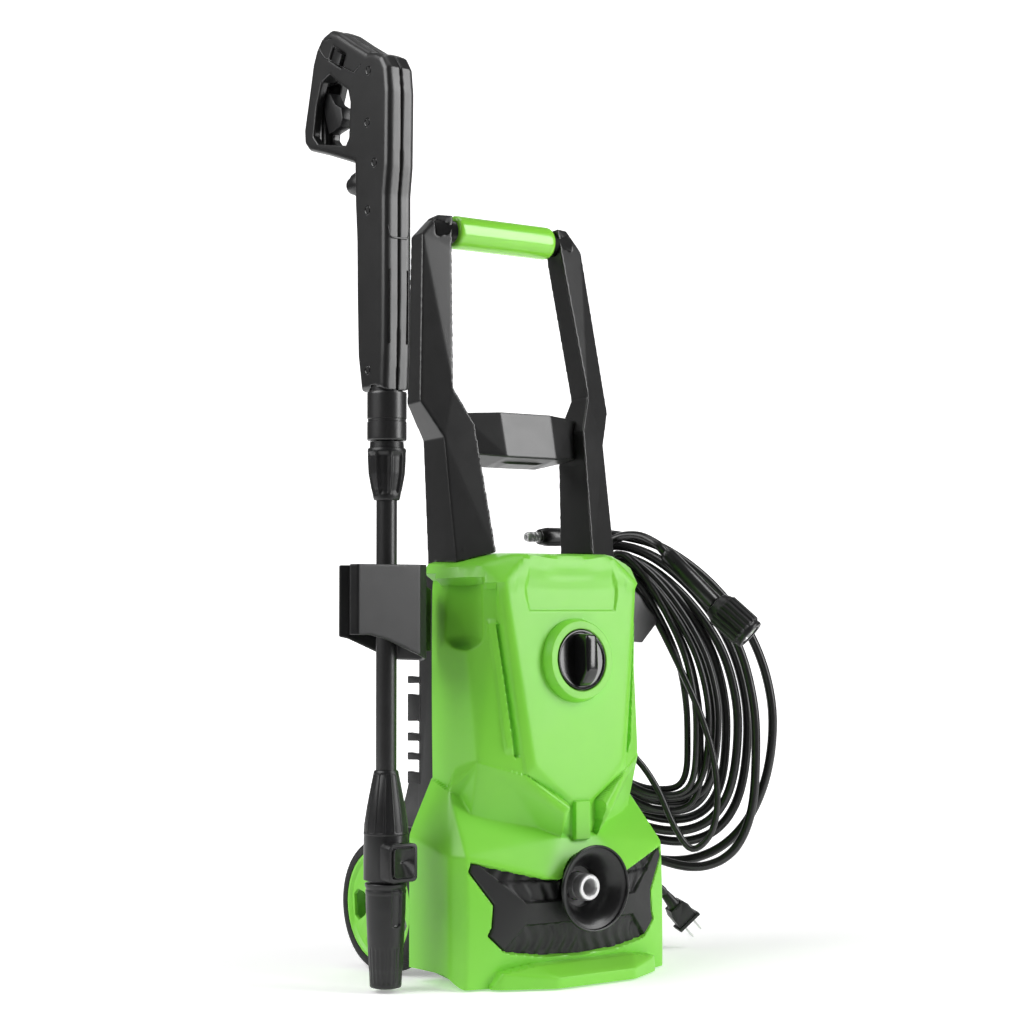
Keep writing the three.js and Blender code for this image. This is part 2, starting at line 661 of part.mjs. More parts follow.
// ---------- lead, plug and hose ----------
// Ring of a hanging coil: tight and set to one side on the hook, loose and wide below.
function hangingCoil({ centre, halfWidth, top, bottom, thickTop, thickSide, thickBottom, deep }) {
  const profile = [];
  const n = 8;
  const rounds = 30;
  for (let i = 0; i <= n; i += 1) {
    const a = (2 * Math.PI * i) / n;
    profile.push(new THREE.Vector2(1 + 0.001 * Math.cos(a), 0.001 * Math.sin(a)));
  }
  const geometry = new THREE.LatheGeometry(profile, rounds);
  const place = geometry.attributes.position;
  const rows = n + 1;
  for (let i = 0; i < place.count; i += 1) {
    const t = (2 * Math.PI * (Math.floor(i / rows) % rounds)) / rounds;
    const a = (2 * Math.PI * ((i % rows) % n)) / n;
    const fall = (1 - Math.cos(t)) / 2;
    const side = Math.sin(t) ** 2;
    const thick = side * thickSide + (1 - side) * (thickTop + (thickBottom - thickTop) * fall);
    const r = (thick / 2) * Math.cos(a);
    const egg = 1 - 0.12 * Math.cos(t);
    const shift = -26 + 68 * fall;
    const across = shift + Math.sin(t) * (halfWidth * egg + r);
    const up = Math.cos(t) * (top + (bottom - top) * fall + r);
    const out = (deep / 2) * Math.sin(a);
    place.setXYZ(
      i,
      centre[0] + across * COIL_ACROSS[0] + out * COIL_OUT[0],
      centre[1] + across * COIL_ACROSS[1] + out * COIL_OUT[1],
      centre[2] + up,
    );
  }
  const merged = mergeVertices(withoutExtras(geometry), 1e-4);
  const body = solid(merged);
  return body.volume() < 0 ? solid(flipped(merged)) : body;
}

function withoutExtras(geometry) {
  geometry.deleteAttribute("normal");
  geometry.deleteAttribute("uv");
  return geometry;
}

const COIL_TURN = THREE.MathUtils.degToRad(-37);
const COIL_ACROSS = [Math.cos(COIL_TURN), Math.sin(COIL_TURN)];
const COIL_OUT = [-Math.sin(COIL_TURN), Math.cos(COIL_TURN)];

function coilPoint(centre, across, out, up) {
  return [
    centre[0] + across * COIL_ACROSS[0] + out * COIL_OUT[0],
    centre[1] + across * COIL_ACROSS[1] + out * COIL_OUT[1],
    centre[2] + up,
  ];
}

const HOSE_CENTRE = [220, 150, 278];
const CORD_CENTRE = coilPoint(HOSE_CENTRE, 0, -30, 0);

// A solid made along +Z from the origin, moved to `at` and aimed along `dir`.
function aimed(body, at, dir) {
  const turn = new THREE.Quaternion().setFromUnitVectors(
    new THREE.Vector3(0, 0, 1),
    new THREE.Vector3(...dir).normalize(),
  );
  const matrix = new THREE.Matrix4().makeRotationFromQuaternion(turn).setPosition(...at);
  return body.transform(matrix.elements);
}

function along(at, dir, distance) {
  const d = new THREE.Vector3(...dir).normalize();
  return [at[0] + d.x * distance, at[1] + d.y * distance, at[2] + d.z * distance];
}

// Hose end that pushes into the gun: rubber cuff and a steel plug with two grooves for its rings.
const QUICK_AT = [116, 150, 464];
const QUICK_DIR = [-1, 0, -0.02];
// Hose end that screws on the machine: long cuff and a ribbed collar.
const CUFF_AT = coilPoint(HOSE_CENTRE, 26, -54, 169);
const CUFF_END = coilPoint(HOSE_CENTRE, 81, -66, 112);
const CUFF_DIR = CUFF_END.map((v, i) => v - CUFF_AT[i]);
const CUFF_LENGTH = Math.hypot(...CUFF_DIR);

function buildHose() {
  add("hose_coil", hangingCoil({
    centre: HOSE_CENTRE, halfWidth: 106, top: 172, bottom: 157, thickTop: 48, thickSide: 84, thickBottom: 74, deep: 33,
  }), RUBBER);
  const toQuick = [
    coilPoint(HOSE_CENTRE, -62, 2, 198),
    coilPoint(HOSE_CENTRE, -78, 0, 195),
    [132, 150, 464.4],
    [117, 150, 464],
  ];
  add("hose_to_quick_plug", tube(toQuick, HOSE_D, 8), RUBBER);
  add("quick_plug_cuff", aimed(turned(
    [[0, 0], [7, 0], [10.5, 4], [10.5, 32], [8.5, 42], [0, 42]], [0, 0, 0], [0, 0, 1], 24,
  ), QUICK_AT, QUICK_DIR), RUBBER);
  add("quick_plug", aimed(turned(
    [[0, 0], [6, 0], [6, 5], [5, 5], [5, 7.5], [6, 7.5], [6, 10], [5, 10], [5, 12.5], [6, 12.5], [6, 15], [4.5, 18],
      [2.5, 18], [2.5, 9], [0, 9]], [0, 0, 0], [0, 0, 1], 20,
  ), along(QUICK_AT, QUICK_DIR, 42.3), QUICK_DIR), STEEL);
  const toCollar = [
    coilPoint(HOSE_CENTRE, -50, -24, 196),
    coilPoint(HOSE_CENTRE, -22, -38, 196),
    along(CUFF_AT, CUFF_DIR, -14),
    along(CUFF_AT, CUFF_DIR, -0.9),
  ];
  add("hose_to_collar", tube(toCollar, HOSE_D, 10), RUBBER);
  add("collar_cuff", aimed(turned(
    [[0, 0], [7, 0], [9.5, 5], [9.5, CUFF_LENGTH], [0, CUFF_LENGTH]], [0, 0, 0], [0, 0, 1], 24,
  ), CUFF_AT, CUFF_DIR), RUBBER);
  const nutDir = [CUFF_DIR[0], CUFF_DIR[1] - 10, CUFF_DIR[2]];
  const nutAt = along(CUFF_END, CUFF_DIR, 2.2);
  const teeth = [];
  for (let i = 0; i < 12; i += 1) {
    teeth.push(box(16.5, 19.5, -2.5, 2.5, 4, 50).rotate([0, 0, (360 / 12) * i]));
  }
  const collar = turned(
    [[9, 0], [15, 0], [17.8, 6], [17.8, 48], [16, 52], [12.5, 52], [12.5, 10], [9, 10], [9, 0]],
    [0, 0, 0], [0, 0, 1], 32,
  );
  add("hose_collar", aimed(join(collar, ...teeth), nutAt, nutDir), BLACK);
  add("collar_insert", aimed(turned(
    [[0, 0], [8.5, 0], [8.5, 12], [11.8, 12], [11.8, 22], [7, 22], [7, 46], [2.5, 46], [2.5, 30], [0, 30]],
    [0, 0, 0], [0, 0, 1], 24,
  ), nutAt, nutDir), STEEL);
}

const PLUG_AT = [209, 94, 64];
const PLUG_DIR = [0.66, -0.12, -0.74];

function buildLead() {
  const glandAt = [40, 186.4, 112];
  add("lead_gland", turned(
    [[0, 0], [12, 0], [12, 6], [8, 7], [5.6, 34], [0, 34]],
    glandAt, [0, 1, 0], 24,
  ), RUBBER);
  const lead = [
    [40, 221, 112],
    [40, 232, 112],
    [58, 252, 118],
    coilPoint(HOSE_CENTRE, -120, 44, -120),
    coilPoint(HOSE_CENTRE, -64, 34, -62),
    coilPoint(HOSE_CENTRE, -38, 2, -18),
    coilPoint(HOSE_CENTRE, -40, -10, 4),
  ];
  add("power_lead", tube(lead, CORD_D, 22, 8), RUBBER);
  add("lead_coil", hangingCoil({
    centre: CORD_CENTRE, halfWidth: 64, top: 155, bottom: 130, thickTop: 34, thickSide: 42, thickBottom: 66, deep: 24,
  }), RUBBER);
  const tail = [
    coilPoint(HOSE_CENTRE, -72, -36, -92),
    coilPoint(HOSE_CENTRE, -70, -38, -112),
    coilPoint(HOSE_CENTRE, -62, -44, -146),
    coilPoint(HOSE_CENTRE, -36, -58, -172),
    along(PLUG_AT, PLUG_DIR, -12),
    along(PLUG_AT, PLUG_DIR, -0.9),
  ];
  add("lead_to_plug", tube(tail, CORD_D, 14, 8), RUBBER);
  const boot = turned([[0, 0], [5, 0], [7, 16], [9, 20], [0, 20]], [0, 0, 0], [0, 0, 1], 16);
  const grip = hull([
    [-9, -9, 18], [9, -9, 18], [-9, 9, 18], [9, 9, 18], [-12, -8, 26], [12, -8, 26], [-12, 8, 26], [12, 8, 26],
    [-12, -7, 42], [12, -7, 42], [-12, 7, 42], [12, 7, 42],
  ]);
  const flange = box(-15, 15, -9.5, 9.5, 41, 45);
  add("plug_body", aimed(join(boot, grip, flange), PLUG_AT, PLUG_DIR), BLACK);
  for (const [side, x] of [["a", -6.35], ["b", 6.35]]) {
    const blade = box(x - 0.8, x + 0.8, -3.2, 3.2, 45.3, 62);
    add("plug_blade_" + side, aimed(blade, PLUG_AT, PLUG_DIR), STEEL);
  }
}

// ---------- spray gun and lance ----------
const GUN_OUTLINE = [
  [42, 603.5], [40, 640], [39, 700], [39, 800], [35, 830], [34, 905], [37, 930], [46, 943], [58, 948],
  [72, 951], [100, 966], [128, 982], [143, 988], [158, 984], [171, 972], [178, 958], [186, 925],
  [195, 890], [194, 876], [185, 867], [150, 857], [116, 846], [98, 840], [97, 800], [94, 760],
  [93, 700], [91, 641], [84, 603.5],
];
const GUN_OPENING = [
  [143, 941], [108, 918], [104, 905], [106, 868], [112, 861], [165, 871], [174, 880], [168, 912], [158, 936],
];

function buildGun() {
  const half = 17;
  const body = plate(GUN_OUTLINE, "yz", LANCE_X - half, LANCE_X + half, [], 6);
  const opening = plate(GUN_OPENING, "yz", LANCE_X - 30, LANCE_X + 30);
  const socket = rod(16 + GAP, 30, [LANCE_X, LANCE_Y, 598], [0, 0, 1], 26);
  const slot = box(LANCE_X - 8, LANCE_X + 8, 150, 182, 868, 936);
  const inletHole = rod(8 + GAP, 24, [LANCE_X, 84, 822], [0, 1, 0], 20);
  const lockPocket = box(-3, 4, -14, 14, -8, 8)
    .rotate([28.5, 0, 0])
    .translate([LANCE_X - half, 128, 956]);
  const whole = cut(body, opening, socket, slot, inletHole, lockPocket);
  const left = whole.intersect(box(LANCE_X - 60, LANCE_X - GAP / 2, -50, 260, 500, 1050));
  const right = whole.intersect(box(LANCE_X + GAP / 2, LANCE_X + 60, -50, 260, 500, 1050));
  add("gun_shell_left", left, SATIN);
  add("gun_shell_right", right, SATIN);
  const lever = [
    [158, 925], [168, 927], [171, 915], [166, 898], [160, 882], [138, 886], [133, 894], [136, 906], [148, 912],
  ];
  add("trigger", plate(lever, "yz", LANCE_X - 7, LANCE_X + 7, [], 1.5), BLACK);
  const slide = box(-3, 3.5, -8, 8, -6, 6);
  add("trigger_lock", slide.rotate([28.5, 0, 0]).translate([LANCE_X - half, 125, 954.4]), BLACK);
  const inlet = turned(
    [[0, 0], [8, 0], [8, 13], [12, 13], [13, 16], [13, 27], [11, 30], [9, 30], [9, 38], [6.3, 38], [6.3, 16], [0, 16]],
    [LANCE_X, 85, 822], [0, 1, 0], 28,
  );
  add("gun_inlet", inlet, BLACK);
  add("gun_collar", turned(
    [[TUBE_D / 2 + GAP, 553], [19.3, 553], [20, 555], [20, 602.8], [16, 603.2], [16, 612], [TUBE_D / 2 + GAP, 612],
      [TUBE_D / 2 + GAP, 553]],
    [LANCE_X, LANCE_Y, 0], [0, 0, 1], 26,
  ), BLACK);
  add("lance_nut", turned(
    [[TUBE_D / 2 + GAP, 493], [12, 493], [16, 506], [19, 522], [19.8, 536], [19.6, 545], [17, 546], [17, 552],
      [TUBE_D / 2 + GAP, 552], [TUBE_D / 2 + GAP, 493]],
    [LANCE_X, LANCE_Y, 0], [0, 0, 1], 26,
  ), BLACK);
  add("lance_tube", ring(TUBE_D / 2, 3, 420, [LANCE_X, LANCE_Y, 186], [0, 0, 1], 26), SATIN);
  const cone = turned(
    [[TUBE_D / 2 + GAP, 221], [12, 221], [15, 206], [19, 186], [22, 166], [22.5, 150], [22.5, 112], [17, 112],
      [17, 116], [TUBE_D / 2 + GAP, 120], [TUBE_D / 2 + GAP, 221]],
    [LANCE_X, LANCE_Y, 0], [0, 0, 1], 26,
  );
  const core = cut(rod(TUBE_D / 2, 74, [LANCE_X, LANCE_Y, 111.5], [0, 0, 1], 26), rod(3, 80, [LANCE_X, LANCE_Y, 110], [0, 0, 1], 16));
  const block = plate(roundedBox(LANCE_X, 131, 34, 38, 5), "xz", 29, 52);
  const pocket = plate(roundedBox(LANCE_X, 131, 26 + 2 * GAP, 30 + 2 * GAP, 4), "xz", 20, 37);
  const bridge = ring(13, TUBE_D / 2 - 1, 8, [LANCE_X, LANCE_Y, 130], [0, 0, 1], 26);
  const tubeRoom = rod(TUBE_D / 2 + GAP, 60, [LANCE_X, LANCE_Y, 185.5], [0, 0, 1], 26);
  add("lance_socket", cut(join(cone, cut(block, rod(TUBE_D / 2 + GAP, 80, [LANCE_X, LANCE_Y, 110], [0, 0, 1], 26)), bridge, core), pocket, tubeRoom), BLACK);
  add("release_button", plate(roundedBox(LANCE_X, 131, 26, 30, 4), "xz", 26.5, 32, [], 1), SATIN);
  add("spray_nozzle", turned(
    [[3, 6], [12, 4], [16, 5], [16.5, 20], [20, 86], [20, 104], [21, 106], [21, 109], [16, 109], [16, 111.2], [3, 111.2], [3, 6]],
    [LANCE_X, LANCE_Y, 0], [0, 0, 1], 26,
  ), BLACK);
}

function roundedBox(cx, cz, w, h, r) {
  const points = [];
  const n = 4;
  for (const [sx, sz, a0] of [[1, 1, 0], [-1, 1, 90], [-1, -1, 180], [1, -1, 270]]) {
    for (let i = 0; i <= n; i += 1) {
      const a = THREE.MathUtils.degToRad(a0 + (90 * i) / n);
      points.push([cx + sx * (w / 2 - r) + r * Math.cos(a), cz + sz * (h / 2 - r) + r * Math.sin(a)]);
    }
  }
  return points;
}

buildFrontHousing();
buildMask();
buildOutlet();
buildSwitch();
buildPowerUnit();
buildRear();
buildWheels();
buildHandle();
buildHolder();
buildHoseHook();
buildHose();
buildLead();
buildGun();

export default machine;
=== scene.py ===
import bmesh
import bpy
import numpy as np
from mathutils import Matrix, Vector


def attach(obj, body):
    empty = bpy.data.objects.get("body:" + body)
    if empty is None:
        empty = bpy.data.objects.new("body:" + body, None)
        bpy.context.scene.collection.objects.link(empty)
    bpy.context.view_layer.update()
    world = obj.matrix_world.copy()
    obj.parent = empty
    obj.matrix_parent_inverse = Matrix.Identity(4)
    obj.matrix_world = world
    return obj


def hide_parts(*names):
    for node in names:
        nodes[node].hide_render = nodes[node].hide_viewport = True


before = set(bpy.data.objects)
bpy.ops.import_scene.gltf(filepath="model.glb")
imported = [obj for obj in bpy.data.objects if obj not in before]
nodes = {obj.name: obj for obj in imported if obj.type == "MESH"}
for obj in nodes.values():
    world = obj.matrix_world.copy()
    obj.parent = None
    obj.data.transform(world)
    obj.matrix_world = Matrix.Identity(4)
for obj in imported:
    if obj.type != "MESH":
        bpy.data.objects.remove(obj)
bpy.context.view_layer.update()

print("frame loaded")


camera = {
    "place": (-1.4766, -1.8290, 0.3862),
    "turn": 37.396,  # degrees round from straight ahead
    "lift": 2.386,  # degrees above level
    "lens": 79.4,
}


def setCamera(s):
    data = bpy.data.cameras.new("studioCamera")
    data.lens = s["lens"]
    data.sensor_width = 36
    obj = bpy.data.objects.new("studioCamera", data)
    bpy.context.scene.collection.objects.link(obj)
    obj.location = s["place"]
    obj.rotation_euler = (np.radians(90 + s["lift"]), 0, np.radians(-s["turn"]))
    bpy.context.scene.camera = obj


def areaLight(name, place, target, size, power, colour=(1, 1, 1)):
    data = bpy.data.lights.new(name, "AREA")
    data.shape = "RECTANGLE"
    data.size, data.size_y = size
    data.energy = power
    data.color = colour
    obj = bpy.data.objects.new(name, data)
    bpy.context.scene.collection.objects.link(obj)
    obj.location = place
    obj.rotation_euler = (Vector(target) - Vector(place)).to_track_quat("-Z", "Y").to_euler()


setCamera(camera)


def newMaterial(name):
    material = bpy.data.materials.new(name)
    material.use_nodes = True
    tree = material.node_tree
    tree.nodes.clear()
    out = tree.nodes.new("ShaderNodeOutputMaterial")
    shader = tree.nodes.new("ShaderNodeBsdfPrincipled")
    tree.links.new(shader.outputs[0], out.inputs[0])
    return material, tree, shader


def noise(tree, scale, detail=3.0, stretch=(1, 1, 1)):
    coords = tree.nodes.new("ShaderNodeTexCoord")
    mapping = tree.nodes.new("ShaderNodeMapping")
    mapping.inputs["Scale"].default_value = stretch
    tree.links.new(coords.outputs["Object"], mapping.inputs[0])
    texture = tree.nodes.new("ShaderNodeTexNoise")
    texture.inputs["Scale"].default_value = scale
    texture.inputs["Detail"].default_value = detail
    tree.links.new(mapping.outputs[0], texture.inputs["Vector"])
    return texture.outputs["Fac"]


def ramp(tree, fac, low, high, colours):
    node = tree.nodes.new("ShaderNodeValToRGB")
    node.color_ramp.elements[0].position = low
    node.color_ramp.elements[1].position = high
    node.color_ramp.elements[0].color = (*colours[0], 1)
    node.color_ramp.elements[1].color = (*colours[1], 1)
    tree.links.new(fac, node.inputs[0])
    return node.outputs[0]


def toRange(tree, fac, low, high):
    node = tree.nodes.new("ShaderNodeMapRange")
    node.inputs["To Min"].default_value = low
    node.inputs["To Max"].default_value = high
    tree.links.new(fac, node.inputs["Value"])
    return node.outputs[0]


# Moulded plastic, rubber or plated metal: two close colours in soft clouds, a varied gloss,
# and a fine grain that stands up by a share of a millimetre.
def moulded(name, s):
    material, tree, shader = newMaterial(name)
    clouds = noise(tree, s.get("cloud", 9.0), 4.0)
    tree.links.new(ramp(tree, clouds, 0.3, 0.7, s["colours"]), shader.inputs["Base Color"])
    scuff = noise(tree, s.get("scuff", 60.0), 5.0, s.get("stretch", (1, 1, 1)))
    tree.links.new(toRange(tree, scuff, *s["rough"]), shader.inputs["Roughness"])
    shader.inputs["Metallic"].default_value = s.get("metal", 0.0)
    shader.inputs["Specular IOR Level"].default_value = s.get("shine", 0.5)
    shader.inputs["Coat Weight"].default_value = s.get("coat", 0.0)
    shader.inputs["Coat Roughness"].default_value = s.get("coatRough", 0.2)
    shader.inputs["Subsurface Weight"].default_value = s.get("depth", 0.0)
    shader.inputs["Subsurface Scale"].default_value = 0.003
    grain = noise(tree, s.get("grain", 1400.0), 2.0, s.get("stretch", (1, 1, 1)))
    bump = tree.nodes.new("ShaderNodeBump")
    bump.inputs["Strength"].default_value = s.get("bump", 0.15)
    bump.inputs["Distance"].default_value = s.get("height", 0.0001)
    tree.links.new(grain, bump.inputs["Height"])
    tree.links.new(bump.outputs[0], shader.inputs["Normal"])
    return material


finishes = {
    "green": {"colours": [(0.205, 0.66, 0.046), (0.235, 0.70, 0.056)], "rough": (0.34, 0.44), "coat": 0.15,
        "coatRough": 0.3, "bump": 0.1},
    "gripGreen": {"colours": [(0.27, 0.78, 0.05), (0.30, 0.83, 0.06)], "rough": (0.2, 0.3), "coat": 0.5,
        "coatRough": 0.12, "bump": 0.05},
    "black": {"colours": [(0.006, 0.006, 0.0065), (0.010, 0.010, 0.0105)], "rough": (0.32, 0.44),
        "bump": 0.2},
    "mattBlack": {"colours": [(0.007, 0.007, 0.0075), (0.012, 0.012, 0.0125)], "rough": (0.42, 0.55),
        "bump": 0.4, "grain": 900.0},
    "gloss": {"colours": [(0.004, 0.004, 0.0045), (0.006, 0.006, 0.0065)], "rough": (0.16, 0.24),
        "coat": 0.4, "coatRough": 0.08, "bump": 0.04},
    "satin": {"colours": [(0.008, 0.008, 0.0083), (0.013, 0.013, 0.0133)], "rough": (0.30, 0.38),
        "bump": 0.15, "shine": 0.8},
    "hoseRubber": {"colours": [(0.008, 0.008, 0.0082), (0.012, 0.012, 0.0125)], "rough": (0.24, 0.36),
        "coat": 0.2, "coatRough": 0.2, "bump": 0.08},
    "tyreRubber": {"colours": [(0.010, 0.010, 0.010), (0.016, 0.016, 0.016)], "rough": (0.6, 0.75),
        "bump": 0.4},
    "bell": {"colours": [(0.006, 0.006, 0.0065), (0.009, 0.009, 0.0095)], "rough": (0.26, 0.36),
        "bump": 0.2},
    "steel": {"colours": [(0.66, 0.66, 0.66), (0.78, 0.78, 0.79)], "rough": (0.26, 0.38), "metal": 0.6,
        "bump": 0.1, "stretch": (1, 8, 1)},
    "zinc": {"colours": [(0.5, 0.5, 0.5), (0.62, 0.62, 0.62)], "rough": (0.3, 0.45), "metal": 1.0,
        "bump": 0.2},
    "brass": {"colours": [(0.72, 0.5, 0.22), (0.8, 0.58, 0.28)], "rough": (0.25, 0.4), "metal": 1.0,
        "bump": 0.1},
    "copper": {"colours": [(0.55, 0.26, 0.14), (0.7, 0.36, 0.2)], "rough": (0.35, 0.5), "metal": 0.9,
        "bump": 0.3},
    "pale": {"colours": [(0.66, 0.65, 0.62), (0.75, 0.74, 0.7)], "rough": (0.4, 0.55), "bump": 0.15},
}
material = {name: moulded(name, s) for name, s in finishes.items()}
print("materials made")


# Faces between the rows and columns of a grid of points, closed round either way.
def gridFaces(rows, cols, wrapRows=False, wrapCols=False):
    i = np.arange(rows if wrapRows else rows - 1)[:, None]
    j = np.arange(cols if wrapCols else cols - 1)[None, :]
    a = i * cols + j
    b = i * cols + (j + 1) % cols
    c = ((i + 1) % rows) * cols + (j + 1) % cols
    d = ((i + 1) % rows) * cols + j
    return np.stack([a, b, c, d], -1).reshape(-1, 4)


def addMesh(name, points, faces, finish, body, smooth=40.0):
    mesh = bpy.data.meshes.new(name)
    mesh.from_pydata(np.asarray(points, float).reshape(-1, 3).tolist(), [],
        [list(map(int, f)) for f in faces])
    bm = bmesh.new()
    bm.from_mesh(mesh)
    bmesh.ops.remove_doubles(bm, verts=bm.verts, dist=0.000004)
    bmesh.ops.recalc_face_normals(bm, faces=bm.faces)
    bm.to_mesh(mesh)
    bm.free()
    mesh.materials.append(material[finish])
    mesh.shade_smooth()
    if smooth < 180:
        mesh.set_sharp_from_angle(angle=np.radians(smooth))
    obj = bpy.data.objects.new(name, mesh)
    bpy.context.scene.collection.objects.link(obj)
    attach(obj, body)
    return obj


# Several closed surfaces as one list of points and faces.
def joined(parts):
    points, faces, count = [], [], 0
    for p, f in parts:
        p = np.asarray(p, float).reshape(-1, 3)
        points.append(p)
        faces += [[k + count for k in face] for face in f]
        count += len(p)
    return np.vstack(points), faces


# A sheet of points with a second sheet behind it, and walls round the edge: a closed slab.
def slab(front, back):
    rows, cols = front.shape[:2]
    faces = gridFaces(rows, cols)
    behind = faces[:, ::-1] + rows * cols
    k = np.arange(rows * cols).reshape(rows, cols)
    edge = np.r_[k[0, :-1], k[:-1, -1], k[-1, :0:-1], k[:0:-1, 0]]
    ahead = np.roll(edge, -1)
    wall = np.stack([edge, ahead, ahead + rows * cols, edge + rows * cols], -1)
    points = np.concatenate([front.reshape(-1, 3), back.reshape(-1, 3)])
    return points, np.vstack([faces, behind, wall]).tolist()


# A turned surface. The profile lists radius and distance along the axis, in millimetres; it either closes
# on itself
# or starts and ends on the axis. relief(angle, distance, radius) adds to the radius all round.
def turned(profile, at, axis, sides=96, step=1.2, relief=None):
    p = np.array(profile, float)
    spans = [max(1, int(np.ceil(np.linalg.norm(b - a) / step))) for a, b in zip(p[:-1], p[1:])]
    line = np.vstack([a + (b - a) * np.linspace(0, 1, n, endpoint=False)[:, None]
                      for a, b, n in zip(p[:-1], p[1:], spans)] + [p[-1:]])
    closed = np.allclose(p[0], p[-1])
    if closed:
        line = line[:-1]
    u, v, w = frameAlong(axis)
    angle = np.arange(sides) * 2 * np.pi / sides
    radius = line[:, :1] + np.zeros(sides)
    if relief is not None:
        radius = radius + relief(angle[None, :], line[:, 1:], line[:, :1])
    out = u * np.cos(angle)[:, None] + v * np.sin(angle)[:, None]
    points = np.array(at, float) + radius[..., None] * out[None] + line[:, 1, None, None] * w
    return points, gridFaces(len(line), sides, wrapRows=closed, wrapCols=True).tolist()


def addTurned(name, parts, finish, body, nodeNames, smooth=35):
    points, faces = joined(parts)
    obj = addMesh(name, points / 1000, faces, finish, body, smooth)
    if nodeNames:
        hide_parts(*nodeNames)
    return obj


# Three unit vectors: two across a direction, and the direction itself.
def frameAlong(direction):
    w = np.array(direction, float)
    w /= np.linalg.norm(w)
    u = np.cross([0, 0, 1.0] if abs(w[2]) < 0.9 else [1.0, 0, 0], w)
    u /= np.linalg.norm(u)
    return u, np.cross(w, u), w


# A smooth line through points, a cubic between each two.
def smoothLine(points, n=6):
    p = np.array(points, float)
    p = np.vstack([2 * p[0] - p[1], p, 2 * p[-1] - p[-2]])
    a, b, c, d = p[:-3, None], p[1:-2, None], p[2:-1, None], p[3:, None]
    u = np.linspace(0, 1, n, endpoint=False)[None, :, None]
    line = 0.5 * (2 * b + (c - a) * u + (2 * a - 5 * b + 4 * c - d) * u**2 + (3 * b - a - 3 * c + d) * u**3)
    return np.vstack([line.reshape(-1, 3), p[-2]])


# The same line with its points evenly spaced along it.
def evenly(line, step):
    s = np.r_[0, np.cumsum(np.linalg.norm(np.diff(line, axis=0), axis=1))]
    n = max(2, int(round(s[-1] / step)) + 1)
    at = np.linspace(0, s[-1], n)
    return np.stack([np.interp(at, s, line[:, k]) for k in range(3)], 1), s[-1]


# A round tube: a circle of the given radius carried along a line by frames that don't twist, closed at both
# ends.
def tubeAlong(name, line, radius, finish, body, sides=14):
    tangent = np.gradient(line, axis=0)
    tangent /= np.linalg.norm(tangent, axis=1)[:, None]
    normal = np.empty_like(line)
    normal[0] = frameAlong(tangent[0])[0]
    for k in range(1, len(line)):
        v = normal[k - 1] - tangent[k] * (normal[k - 1] @ tangent[k])
        normal[k] = v / np.linalg.norm(v)
    side = np.cross(tangent, normal)
    a = np.arange(sides) * 2 * np.pi / sides
    r = np.broadcast_to(np.asarray(radius, float), len(line))[:, None, None]
    ring = normal[:, None] * np.cos(a)[None, :, None] + side[:, None] * np.sin(a)[None, :, None]
    points = (line[:, None] + r * ring).reshape(-1, 3)
    faces = [list(f) for f in gridFaces(len(line), sides, wrapCols=True)]
    faces += [list(range(sides))[::-1], list(range((len(line) - 1) * sides, len(line) * sides))]
    return addMesh(name, points, faces, finish, body, 50)


hang = {
    "centre": np.array([0.220, 0.150, 0.278]),
    "turn": -37.0,  # degrees: the coils hang flat to the viewer
    "topAcross": -0.026,  # where they rest on the saddle
    "egg": 0.12,
}
hangAcross = np.array([np.cos(np.radians(hang["turn"])), np.sin(np.radians(hang["turn"])), 0])
hangOut = np.array([-hangAcross[1], hangAcross[0], 0])


def hangPoint(across, out, up):
    return hang["centre"] + (hangAcross * across + hangOut * out) / 1000 + np.array([0, 0, up / 1000])


# Turns of a hanging coil. Each turn states how high its top lies, how wide it swings right, how low it
# hangs,
# how wide it swings left and where its lowest point is, then how far out it lies at those four places.
# Across is a sine of the way round times the width, up is a cosine times the height, and each eases to the
# next.
def hangingTurns(turns, end, steps=16):
    t = np.array(turns, float)
    k = len(turns)
    way = np.arange(k * steps + 1) / steps * 2 * np.pi
    tops, outTops = np.r_[t[:, 0], end[0]], np.r_[t[:, 5], end[1]]
    width, height, middle, out = np.empty((4, 4 * k + 1))
    width[1::4], width[3::4], width[2::4] = t[:, 1], t[:, 3], (t[:, 1] + t[:, 3]) / 2
    width[0], width[-1], width[4:-1:4] = t[0, 1], t[-1, 3], (t[:-1, 3] + t[1:, 1]) / 2
    height[0::4], height[2::4] = tops, t[:, 2]
    height[1::4], height[3::4] = (tops[:-1] + t[:, 2]) / 2, (t[:, 2] + tops[1:]) / 2
    topAcross = hang["topAcross"] * 1000
    middle[0::4], middle[2::4] = topAcross, t[:, 4]
    middle[1::4] = middle[3::4] = (topAcross + t[:, 4]) / 2
    out[0::4], out[1::4], out[2::4], out[3::4] = outTops, t[:, 6], t[:, 7], t[:, 8]
    x = way / (np.pi / 2)
    i = np.minimum(x.astype(int), 4 * k - 1)
    f = (1 - np.cos(np.pi * (x - i))) / 2
    width, height, middle, out = [v[i] * (1 - f) + v[i + 1] * f for v in (width, height, middle, out)]
    c, s = np.cos(way), np.sin(way)
    across = middle + s * width * (1 - hang["egg"] * c)
    return hang["centre"] + (hangAcross * across[:, None] + hangOut * out[:,
        None]) / 1000 + np.stack([0 * c, 0 * c, c * height / 1000], 1)


